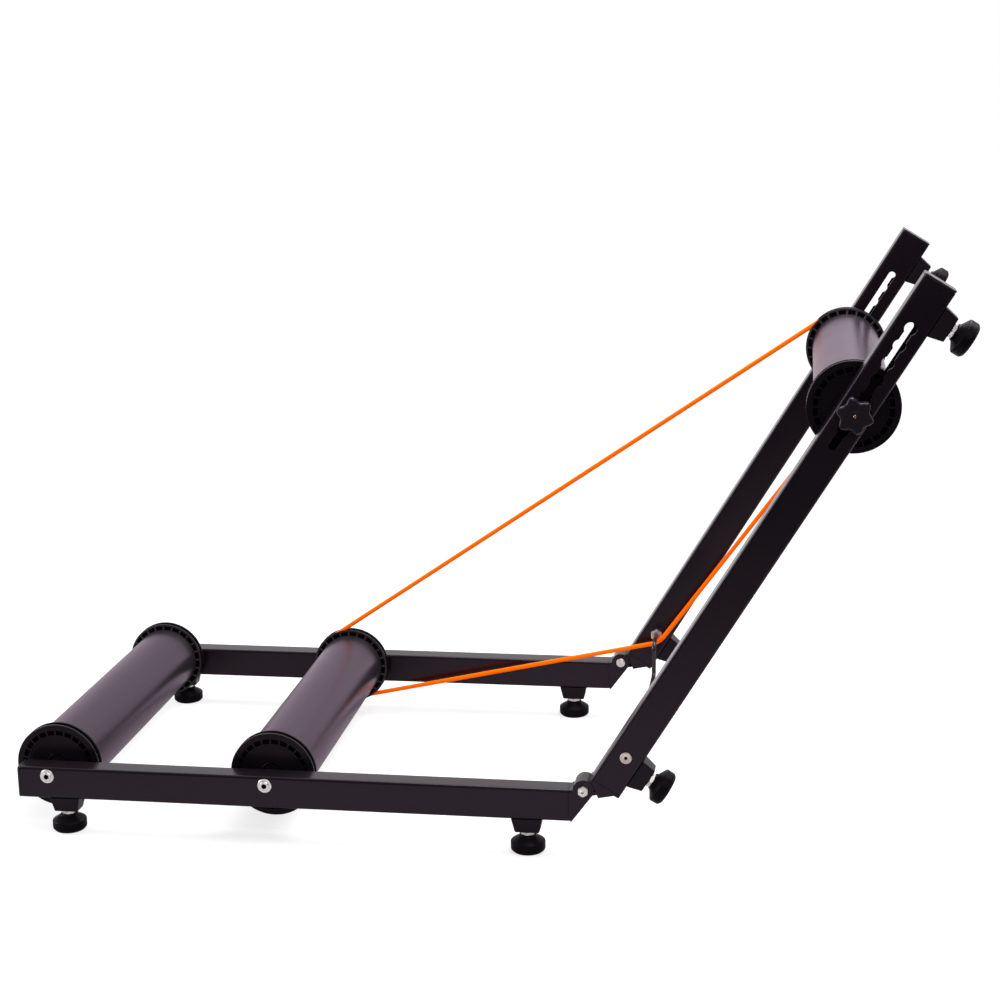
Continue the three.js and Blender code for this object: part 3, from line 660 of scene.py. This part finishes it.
# %% [markdown]
# ## Hinges
# A rear bracket has two ears and a front bracket has one tongue that fits between them. Each grows from a
# flange that closes the tube, and its lower edge runs straight down from the round knuckle. The front one
# is cut back so that it clears the ears when the frame lies flat.

# %% Hinge brackets
KNUCKLE, FLANGE, TONGUE, FRONT_RISE = 11.3, 3, 6, 6
FLANGE_FACE = RAIL_END - FLANGE


def raise_face(shape, faces, height):
    """Extrude flat faces along Y into a closed solid."""
    grown = bmesh.ops.extrude_face_region(shape, geom=faces)["geom"]
    moved = [v for v in grown if isinstance(v, bmesh.types.BMVert)]
    bmesh.ops.translate(shape, vec=(0, height, 0), verts=moved)
    bmesh.ops.recalc_face_normals(shape, faces=shape.faces)


def knuckle(radius, rise, width):
    """The bracket's side outline as a plate: a round knuckle joined to a wedge under it."""
    foot = Vector((FLANGE_FACE, RAIL_TOP - RAIL_HEIGHT + rise))
    touch = math.atan2(foot.y, foot.x) - math.acos(radius / foot.length)
    outline = [(0, 0), (radius, 0), (FLANGE_FACE + 1, RAIL_TOP), (FLANGE_FACE + 1, foot.y), tuple(foot),
               (radius * math.cos(touch), radius * math.sin(touch))]
    wedge = bmesh.new()
    face = wedge.faces.new([wedge.verts.new((x, -width / 2, z)) for x, z in outline])
    raise_face(wedge, [face], width)
    return carve(rod(radius, (-width / 2, width / 2), 56), wedge, "UNION")


def flange():
    """The plate that closes a rail's inner end."""
    plate = bar((FLANGE_FACE, RAIL_END), RAIL_HEIGHT, RAIL_WIDTH, RAIL_CORNER)
    return shifted(plate, z=rail_mid)


EAR_GAP, GAP_END = TONGUE + 0.6, FLANGE_FACE - 0.85
gap = block((-24, GAP_END), (-EAR_GAP / 2, EAR_GAP / 2), (-60, 60))
ears = carve(knuckle(KNUCKLE, 0, RAIL_WIDTH), gap)
rear_bracket = soften(carve(ears, flange(), "UNION"), 0.55)
rear_bracket = mirrored(rear_bracket, (-1, 1, 1))
ear_foot = mirrored(knuckle(KNUCKLE + SEAT, -SEAT, 2 * RAIL_WIDTH), (-1, 1, 1))
ear_round = rod(KNUCKLE + 2 * SEAT, (-RAIL_WIDTH, RAIL_WIDTH), 64)
cheeks = carve(carve(knuckle(KNUCKLE, FRONT_RISE, RAIL_WIDTH), ear_round), ear_foot)
cheeks = carve(cheeks, knuckle(KNUCKLE, FRONT_RISE, TONGUE), "UNION")
front_bracket = soften(carve(cheeks, flange(), "UNION"), 0.55)
on_pin = (0, RAIL_MID_Y, 0)
put_both(rear_bracket, "hinge_ears", ["powder_coat"], "rear_frame", "rear_hinge_bracket", level, *on_pin)
put_both(front_bracket, "hinge_tongue", ["powder_coat"], "front_frame", "front_hinge_bracket", raised,
         *on_pin)
print("bracket faces", len(rear_bracket.faces), len(front_bracket.faces))


# %% [markdown]
# ## Nuts
# A hexagon nut is a six-sided prism whose corners are cut by a cone on a lathe, so it is made the same way:
# the prism is intersected with a turned barrel.


# %% Nuts
def hexagon(radius, y):
    """A six-sided prism along Y."""
    shape = bmesh.new()
    turn = Matrix.Translation((0, (y[0] + y[1]) / 2, 0)) @ Matrix.Rotation(-math.pi / 2, 4, "X")
    bmesh.ops.create_cone(shape, cap_ends=True, segments=6, radius1=radius, radius2=radius, depth=y[1] - y[0],
                          matrix=turn)
    return shape


def paint_hole_shade(shape, radius, y):
    """Give the faces of a hole the second material, a painted shade of black: those near the Y axis and
    between two heights.
    """
    for face in shape.faces:
        middle = face.calc_center_median()
        if math.hypot(middle.x, middle.z) < radius and y[0] < middle.y < y[1]:
            face.material_index = 1


def hex_nut(radius, height, bore=0):
    """A chamfered nut from y = 0 outward."""
    edge, inner, outside = radius * 0.09, radius * 0.89, radius * 1.01
    barrel = lathe([
        (0, 0), (inner, 0), (outside, edge), (outside, height - edge), (inner, height), (0, height),
    ])
    nut = carve(hexagon(radius, (0, height)), barrel, "INTERSECT")
    if bore:
        nut = carve(nut, rod(bore, (-1, height + 1), 40))
    return soften(nut, 0.15, angle=50, segments=2)


# %% [markdown]
# ## Hinge pins
# Each pin is a bolt whose low, round head faces the middle of the frame. Its nut is on the outer ear, with
# a small hole at the thread's end. Nut and bolt never part, so they are one piece.

# %% Hinge pins
PIN_RADIUS, PIN_HEAD, PIN_HEAD_HEIGHT = 3, 5.6, 3.2
PIN_NUT, PIN_NUT_HEIGHT, PIN_TIP = 5.8, 5, 1.6
pin_seat = RAIL_WIDTH / 2 + SEAT
pin_nut = shifted(hex_nut(PIN_NUT, PIN_NUT_HEIGHT), y=pin_seat)
pin_end = pin_seat + PIN_NUT_HEIGHT + PIN_TIP
pin_bolt = lathe([
    (0, -pin_seat - 2.0), (1.0, -pin_seat - 2.1), (1.5, -pin_seat - 2.9), (3.9, -pin_seat - PIN_HEAD_HEIGHT),
    (4.3, -pin_seat - 3.0), (4.5, -pin_seat - 2.8), (5.1, -pin_seat - 2.7), (PIN_HEAD, -pin_seat - 2.2),
    (PIN_HEAD, -pin_seat), (PIN_RADIUS, -pin_seat),
    (PIN_RADIUS, pin_end - 0.6), (PIN_RADIUS - 0.6, pin_end), (1.3, pin_end), (0.9, pin_end - 1.6),
    (0, pin_end - 1.8),
])
# The small hole at the pin's end gets a painted shade of black.
paint_hole_shade(pin_bolt, 1.2, (pin_end - 2, pin_end - 0.1))
hinge_pin = joined(pin_nut, pin_bolt)
put_both(hinge_pin, "pin", ["zinc", "painted_shade_black"], "rear_frame", "hinge_pin", level, *on_pin)
print("hinge pin faces", len(hinge_pin.faces))

# %% [markdown]
# ## Axle bolts
# The rear and middle axles are bolted to the rails from outside. A bolt head is turned with its flange in
# one profile. The hexagon socket is cut with a prism and gets a painted shade, since no light gets into it.

# %% Axle bolts
BOLT_FLANGE, BOLT_HEAD, SOCKET = 7.9, 5.8, 3.2
outer_face = RAIL_MID_Y + RAIL_WIDTH / 2
axle_bolt = lathe([
    (0, -40), (3, -40), (3, 0), (BOLT_FLANGE - 0.3, 0), (BOLT_FLANGE, 0.25), (BOLT_FLANGE, 1.0),
    (BOLT_FLANGE - 0.4, 1.4), (BOLT_HEAD, 1.5), (BOLT_HEAD - 0.3, 1.3), (BOLT_HEAD - 0.5, 1.5),
    (BOLT_HEAD - 0.7, 2.4), (BOLT_HEAD - 1.1, 2.8), (BOLT_HEAD - 1.7, 3.0), (0, 3.0),
])
axle_bolt = soften(carve(axle_bolt, hexagon(SOCKET, (0.4, 6))), 0.12, angle=50, segments=2)
paint_hole_shade(axle_bolt, 3.05, (0.3, 2.8))
for place, axle in (("rear", rear_axle), ("middle", middle_axle)):
    put_both(axle_bolt, f"bolt_{place}", ["zinc", "painted_shade_black"], "rear_frame", f"axle_bolt_{place}", level,
             axle.x, outer_face + SEAT, axle.z)
print("axle bolt faces", len(axle_bolt.faces))

# %% [markdown]
# ## Feet
# Under each rail a tapered block is fixed, and a levelling foot screws up into it: a broad soft pad, a thin
# lock nut and a stud. The pad is turned, with a fine ring where the rubber sole meets the moulded top.

# %% Blocks and levelling feet
BLOCK_LENGTH, BLOCK_WIDTH, BLOCK_HEIGHT = 34, 26, 16
SOLE_LENGTH, SOLE_WIDTH = 27, 20
FOOT_HEIGHT = 23.7
LOCK_RADIUS, LOCK_HEIGHT, LOCK_BASE = 8.4, 3.6, 19.4
STUD_RADIUS, STUD_DEPTH = 4, 13
half_length, half_width = BLOCK_LENGTH / 2, BLOCK_WIDTH / 2
foot_block = block((-half_length, half_length), (-half_width, half_width), (-BLOCK_HEIGHT, SEAT - 0.02))
low = [v for v in foot_block.verts if v.co.z < -1]
bmesh.ops.scale(foot_block, vec=(SOLE_LENGTH / BLOCK_LENGTH, SOLE_WIDTH / BLOCK_WIDTH, 1), verts=low)
round_edges(foot_block, 2, 2)
soften(foot_block, 0.6, angle=45)
pad = lathe([
    (0, 0.4), (6, 0.4), (6.6, 0), (15.8, 0), (16.6, 0.3), (18.3, 2.0), (18.8, 2.8), (18.5, 3.1), (18.9, 3.4),
    (19, 4.2), (19, 10.6), (18.8, 11.4), (18.0, 12.2), (10.4, 16.8), (9.6, 17.5), (9.3, 18.2), (9.2, 18.9),
    (8.6, 19.3), (0, 19.3),
], 72)
pad.transform(Matrix.Rotation(math.pi / 2, 4, "X"))
lock_nut = shifted(hex_nut(LOCK_RADIUS, LOCK_HEIGHT), y=LOCK_BASE)
lock = joined(lock_nut, rod(STUD_RADIUS, (LOCK_BASE + LOCK_HEIGHT, FOOT_HEIGHT + STUD_DEPTH), 32))
lock.transform(Matrix.Rotation(math.pi / 2, 4, "X"))
under_rail = RAIL_TOP - RAIL_HEIGHT - SEAT
FEET = {
    "rear": (level, "rear_frame", REAR_TIP + 52.5), "hinge_rear": (level, "rear_frame", -62),
    "hinge_front": (raised, "front_frame", 46), "front": (raised, "front_frame", FRONT_TIP - 35.5),
}
sole = under_rail - BLOCK_HEIGHT - FOOT_HEIGHT
for place, (section, body, x) in FEET.items():
    put_both(foot_block, f"block_{place}", ["moulded_black"], body, f"foot_block_{place}", section,
             x, RAIL_MID_Y, under_rail)
    for side, sign in SIDES.items():
        for part, shape, key in (("pad", pad, "foot_rubber"), ("lock", lock, "zinc")):
            put(shape, f"foot_{part}_{place}_{side}", [key], f"foot_{place}_{side}",
                [f"levelling_foot_{place}_{side}"], section, x, RAIL_MID_Y, sole, sign)
print("foot block, pad and lock nut faces", *(len(shape.faces) for shape in (foot_block, pad, lock)))

# %% [markdown]
# ## Drum tubes
# Each drum is an anodised aluminium tube on two end caps. The tube's ends are belled a little, so that they
# sit proud of the cap's shoulder. Both ends are alike, so half a profile is drawn and turned round for the
# other.

# %% Drum tubes
CAP_FACE, CAP_WIDTH = 198.5, 12
TUBE_RADIUS, TUBE_WALL = 40, 2.5
DRUMS = {"rear": (level, rear_axle), "middle": (level, middle_axle), "front": (raised, front_axle)}
drum_end = CAP_FACE - CAP_WIDTH - SEAT
bell = [
    (TUBE_RADIUS - TUBE_WALL, drum_end), (TUBE_RADIUS + 0.5, drum_end), (TUBE_RADIUS + 0.8, drum_end - 0.4),
    (TUBE_RADIUS + 0.7, drum_end - 3), (TUBE_RADIUS + 0.2, drum_end - 7), (TUBE_RADIUS, drum_end - 12),
]
drum_tube = lathe([(r, -y) for r, y in bell] + bell[::-1], 120, ring=True)
for place, (section, axle) in DRUMS.items():
    put(drum_tube, f"tube_{place}", ["anodised"], f"{place}_drum", [f"drum_tube_{place}"], section,
        axle.x, 0, axle.z)
print("drum tube faces", len(drum_tube.faces))

# %% [markdown]
# ## Drum caps
# A moulded cap is pressed into each tube end. It carries the belt's groove, the bearing, and two rings of
# small pockets that save plastic: one on the face and one on the inboard shoulder. A ring is cut by taking
# four of every five facets of the turned cap and sinking them, so the pockets come out evenly spaced with
# thin ribs between them.

# %% Drum caps
FACETS, PER_POCKET = 120, 5
CAP_RADIUS, GROOVE_FLOOR = 48, 41.2
drum_cap = lathe([
    (14.3, -1.2), (33.9, -1.2), (34.5, 0), (36, 0), (41.4, 0), (47.4, 0), (CAP_RADIUS, -0.6),
    (CAP_RADIUS, -2.3), (47.7, -2.7), (45, -2.9), (41.8, -3.5), (GROOVE_FLOOR, -4.1),
    (GROOVE_FLOOR, -7.9), (41.8, -8.5), (45, -8.9), (47.7, -9.3), (CAP_RADIUS, -9.7),
    (CAP_RADIUS, -10.9), (47.6, -11.3), (45.6, -11.4), (41.0, -12.8), (40.9, -12.0), (37.2, -12),
    (37.2, -21.5), (36.7, -22), (34.2, -22),
    (34.2, -7.2), (17.7, -7.2), (17.7, -12.4), (8.8, -12.4), (8.8, -8.9), (14.3, -8.9),
], FACETS, ring=True)


def ring_faces(shape, y, inner, outer):
    """The faces near a height whose middles lie between two radii, each with its turn about the axis."""
    for face in shape.faces:
        middle = face.calc_center_median()
        if abs(middle.y - y) < 0.9 and inner < math.hypot(middle.x, middle.z) < outer:
            turn = (math.atan2(middle.z, middle.x) + 2 * math.pi) / (2 * math.pi)
            yield face, int(turn * FACETS + 1e-6)


def sink_ring(shape, y, inner, outer, depth):
    """Sink four of every five facets of a flat ring to make a ring of pockets, with a painted shade of black
    inside.
    """
    chosen = [face for face, turn in ring_faces(shape, y, inner, outer) if turn % PER_POCKET]
    walls = bmesh.ops.inset_region(shape, faces=chosen, thickness=0.3, depth=-depth, use_even_offset=True)
    for face in chosen + walls["faces"]:
        face.material_index = 1
    return len(chosen)


SHOULDER = -12.1
# The pockets' insides get the painted shade.
sunk = sink_ring(drum_cap, 0, 36, 41.4, 3)
# The ribs between the shoulder's pockets get the lighter black, a painted highlight.
for rib, _ in ring_faces(drum_cap, SHOULDER, 40.8, 47.9):
    rib.material_index = 2
sunk += sink_ring(drum_cap, SHOULDER, GROOVE_FLOOR, 45.4, 2.4)
for place, (section, axle) in DRUMS.items():
    put_both(drum_cap, f"cap_{place}", ["cap_black", "painted_shade_black", "rib_painted_highlight"], f"{place}_drum",
             f"drum_cap_{place}", section, axle.x, CAP_FACE, axle.z, smooth=42)
print("pocket facets", sunk)

# %% [markdown]
# ## Bearings
# A ball bearing sits in each cap: an inner and an outer steel race with a black shield between them. Only
# its face can be seen, so it is turned as one ring, and the faces of the shield get the second material.

# %% Bearings
bearing = lathe([
    (6.3, -3.7), (6.6, -4), (8.4, -4), (8.6, -3.5), (11.3, -3.5), (11.5, -4), (13.6, -4), (14, -3.6),
    (14, 3.6), (13.6, 4), (11.5, 4), (11.3, 3.5), (8.6, 3.5), (8.4, 4), (6.6, 4), (6.3, 3.7),
], 64, ring=True)
for face in bearing.faces:
    middle = face.calc_center_median()
    if 8.6 < math.hypot(middle.x, middle.z) < 11.3 and abs(middle.y) > 3:
        face.material_index = 1
for place, (section, axle) in DRUMS.items():
    put_both(bearing, f"race_{place}", ["race_steel", "shield_black"], f"{place}_drum", f"bearing_{place}",
             section, axle.x, CAP_FACE - 4.6, axle.z)
print("bearing faces", len(bearing.faces))

# %% [markdown]
# ## Axles
# Turned steel rods. The shoulders keep the bearings off the rails. The front axle goes on through the slots
# into the knobs, so its ends are thinner. Their thread is too fine to show, so it isn't drawn.

# %% Axles
AXLE_RADIUS, SHOULDER_RADIUS = 6, 8.5
axle_end, shoulder = 205.2, 198.2
half = [
    (0, axle_end), (SHOULDER_RADIUS - 0.4, axle_end), (SHOULDER_RADIUS, axle_end - 0.4),
    (SHOULDER_RADIUS, shoulder + 0.3), (SHOULDER_RADIUS - 0.3, shoulder), (AXLE_RADIUS, shoulder),
]
plain_axle = lathe(half + [(r, -y) for r, y in reversed(half)], 48)
stud_end = 245
half = [(0, stud_end), (3.2, stud_end), (3.9, stud_end - 0.8), (3.9, axle_end)] + half[1:]
front_rod = lathe(half + [(r, -y) for r, y in reversed(half)], 48)
AXLES = {
    "rear": (plain_axle, "rear_frame"), "middle": (plain_axle, "rear_frame"),
    "front": (front_rod, "front_axle_set"),
}
for place, (shape, body) in AXLES.items():
    section, axle = DRUMS[place]
    put(shape, f"axle_{place}", ["turned_steel"], body, [f"{place}_axle"], section, axle.x, 0, axle.z)
print("axle lengths", 2 * axle_end, 2 * stud_end)

# %% [markdown]
# ## Star knobs
# Six soft lobes that fingers can grip, moulded round a brass insert. The outline is a circle whose points
# are moved in and out by a cosine. Its face is then extruded, and a wide bevel gives the rounded rim.

# %% Star knobs
KNOB_MEAN, KNOB_WAVE, LOBES, KNOB_TURN = 16.85, 2.15, 6, math.radians(43.4)
KNOB_START, KNOB_THICK, KNOB_RIM = 6, 11, 2.6
knob_head = bmesh.new()
flat = Matrix.Rotation(-math.pi / 2, 4, "X")
bmesh.ops.create_circle(knob_head, cap_ends=True, radius=KNOB_MEAN, segments=96, matrix=flat)
for vert in knob_head.verts:
    angle = math.atan2(vert.co.z, vert.co.x)
    vert.co *= 1 + KNOB_WAVE / KNOB_MEAN * math.cos(LOBES * (angle - KNOB_TURN))
raise_face(knob_head, knob_head.faces[:], KNOB_THICK)
shifted(knob_head, y=KNOB_START)
soften(knob_head, KNOB_RIM, angle=60, segments=6)
dish = lathe([(0, 16.4), (6.2, 16.4), (7.4, 17.2), (7.4, 20), (0, 20)])
knob_head = carve(knob_head, dish)
knob_hub = lathe([(4.2, 0.3), (9.4, 0.3), (10, 0.9), (10, 6.4), (4.2, 6.4)], 64, ring=True)
knob_boss = lathe([(4.2, -1.7), (5.7, -1.7), (6, -1.4), (6, 0.4), (4.2, 0.4)], 48, ring=True)
knob = joined(knob_head, knob_hub, knob_boss)
insert = lathe([(0, 16), (1.5, 16), (1.5, 16.8), (1.2, 17.1), (0, 17.1)], 32)
for side, sign in SIDES.items():
    put(knob, f"knob_head_{side}", ["knob_black"], f"knob_{side}", [f"star_knob_{side}"], raised,
        front_axle.x, outer_face, front_axle.z, sign)
    put(insert, f"knob_insert_{side}", ["brass"], f"knob_{side}", [], raised,
        front_axle.x, outer_face, front_axle.z, sign)
print("knob faces", len(knob.faces))


# %% [markdown]
# ## Carry handle
# A bent rod that hangs between the front rails. A path of straight runs and round bends is given a round
# section by a curve's bevel, which keeps the section even round the bends.


# %% Carry handle
def arc(centre, radius, start, end, step=6):
    """Points (across, up) on an arc, with angles in degrees."""
    count = max(2, math.ceil(abs(end - start) / step))
    angles = [math.radians(start + (end - start) * i / count) for i in range(count + 1)]
    return [(centre[0] + radius * math.cos(a), centre[1] + radius * math.sin(a)) for a in angles]


def piped(points, radius):
    """A path given a round section, as a closed mesh."""
    curve = bpy.data.curves.new("piped", "CURVE")
    curve.dimensions = "3D"
    curve.bevel_depth = radius
    curve.bevel_resolution = 5
    curve.use_fill_caps = True
    line = curve.splines.new("POLY")
    line.points.add(len(points) - 1)
    for point, at in zip(line.points, points):
        point.co = (*at, 1)
    thing = bpy.data.objects.new("piped", curve)
    scene.collection.objects.link(thing)
    shape = bmesh.new()
    shape.from_mesh(thing.to_mesh())
    thing.to_mesh_clear()
    bpy.data.objects.remove(thing)
    bpy.data.curves.remove(curve)
    bmesh.ops.remove_doubles(shape, verts=shape.verts, dist=1e-4)
    bmesh.ops.recalc_face_normals(shape, faces=shape.faces)
    return shape


ROD, BEND, LEG_Y, DROP = 2.75, 8, 160.5, 40
ROD_END = 228.8
route = [(-ROD_END, 0)] + arc((-LEG_Y - BEND, -BEND), BEND, 90, 0)
route += arc((-LEG_Y + BEND, -DROP + BEND), BEND, 180, 270)
route += [(-across, up) for across, up in reversed(route)]
handle = piped([(0, across, up) for across, up in route], ROD)
pivot = raised @ (handle_pivot * MM)
put(handle, "handle_rod", ["rod_coat"], "handle", ["carry_handle"], Matrix.Translation(pivot))
print("handle faces", len(handle.faces), "from", len(route), "points")

# %% [markdown]
# ## The handle's screws
# The rod's ends turn in hollow screws, whose domed heads show outside the rails. A nut holds each of them
# inside.

# %% Handle screws
SCREW_RADIUS, SCREW_END = 4.5, -32.8
JAM_RADIUS, JAM_HEIGHT = 7.5, 5
sleeve = lathe([
    (0, -0.3), (ROD + 0.3, -0.3), (ROD + 0.3, SCREW_END), (SCREW_RADIUS, SCREW_END), (SCREW_RADIUS, 0.3),
    (6.1, 0.3), (6.4, 0.6), (6.4, 2.1), (6.1, 2.5), (5.7, 2.7), (4.6, 2.6), (3.0, 2.3), (1.8, 2.2),
    (1.3, 1.2), (0, 1.1),
])
# The dent in the screw's dome gets a painted shade of black.
paint_hole_shade(sleeve, 1.6, (1.0, 2.1))
jam_nut = mirrored(hex_nut(JAM_RADIUS, JAM_HEIGHT, SCREW_RADIUS + 0.3), (1, -1, 1))
inner_face = outer_face - RAIL_WIDTH
put_both(sleeve, "sleeve", ["screw_zinc", "painted_shade_black"], "front_frame", "handle_screw", raised,
         handle_pivot.x, outer_face, handle_pivot.z)
put_both(jam_nut, "jam_nut", ["zinc"], "front_frame", "handle_nut", raised,
         handle_pivot.x, inner_face - SEAT, handle_pivot.z)
print("screw and nut faces", len(sleeve.faces), len(jam_nut.faces))

# %% [markdown]
# ## The belt's route
# A round urethane belt runs in the left-hand grooves of the middle and front drums. The handle's rod holds
# its lower run down near the hinge. Each straight run touches two circles, so the route is found from their
# tangents.

# %% Belt route
BELT, BELT_Y = 2.75, 192.5
GROOVE_GAP, ROD_GAP, SOFT_BEND, RUN_STEPS = 0.2, 0.3, 30, 60
WRAP = GROOVE_FLOOR + GROOVE_GAP + BELT


def to_level(point):
    """A point of the front section, seen from the rear section's axes."""
    return along(level, raised @ (Vector(point) * MM))


front_centre = to_level(front_axle)
rod_centre = to_level(handle_pivot)
hug = ROD + ROD_GAP + BELT
apart = Vector((middle_axle.x - rod_centre.x, middle_axle.z - rod_centre.z)).normalized()
apart += Vector((front_centre.x - rod_centre.x, front_centre.z - rod_centre.z)).normalized()
bend = Vector((rod_centre.x, rod_centre.z)) + apart.normalized() * (SOFT_BEND - hug)
circles = [
    (middle_axle.x, middle_axle.z, WRAP), (front_centre.x, front_centre.z, WRAP),
    (bend.x, bend.y, SOFT_BEND),
]


def tangent(start, end):
    """The direction, in degrees, from both centres to the points where a run touches the two circles."""
    across, up = end[0] - start[0], end[1] - start[1]
    lean = math.asin((start[2] - end[2]) / math.hypot(across, up))
    return math.degrees(math.atan2(up, across) + math.pi / 2 - lean)


upper, down, lower = (tangent(circles[i], circles[(i + 1) % 3]) for i in range(3))


def round_circle(i, start, end):
    """The belt's points on one of the circles."""
    return arc(circles[i][:2], circles[i][2], start, end, 3)


def run(start, end, count):
    """Evenly spaced points from one point to another, both included."""
    return [tuple(a + (b - a) * k / count for a, b in zip(start, end)) for k in range(count + 1)]


middle_arc = round_circle(0, lower + (360 if lower < upper else 0), upper)
front_arc = round_circle(1, upper, down - (360 if down > upper else 0))
rod_arc = round_circle(2, down, lower - (360 if lower > down else 0))
upper_run = run(middle_arc[-1], front_arc[0], RUN_STEPS)
down_run = run(front_arc[-1], rod_arc[0], RUN_STEPS)
lower_run = run(rod_arc[-1], middle_arc[0], RUN_STEPS)
print("runs leave the drums and the rod at", [round(v, 1) for v in (upper, down, lower)])

# %% [markdown]
# ## The belt's lengths
# The belt is made in four lengths, because each can bend across one joint only. The belt is made in four
# lengths, split where the real belt bends as the frame folds or the front axle slides: the upper run is
# split far enough up that the slack would lie on the floor when the frame is folded over. Each length's
# place is baked into its mesh, and it rides on no body of the frame.

# %% Belt
MEETING = 51
lengths = {
    "belt_rear": middle_arc[:-1] + upper_run[:MEETING + 1],
    "belt_front": upper_run[MEETING:-1] + front_arc,
    "belt_down": down_run,
    "belt_lower": rod_arc[:-1] + lower_run,
}
belts = {}
for name, points in lengths.items():
    drawing = piped([(x, 0, z) for x, z in points], BELT)
    belts[name] = put(drawing, name, ["belt_orange"], "rear_frame", ["drive_belt"], level, 0, BELT_Y, 0)
    belts[name].parent = None


def spot(x, z):
    """A point of the belt's plane, in metres."""
    return level @ (Vector((x, BELT_Y, z)) * MM)


meeting = spot(*upper_run[MEETING])
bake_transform(belts["belt_rear"], "rear_frame", "front_frame", spot(*upper_run[0]), meeting)
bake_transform(belts["belt_front"], "front_frame", "front_axle_set", meeting, spot(*upper_run[-1]))
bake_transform(belts["belt_down"], "front_frame", "front_axle_set", spot(*down_run[-1]), spot(*down_run[0]))
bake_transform(belts["belt_lower"])
print("belt lengths", list(belts))
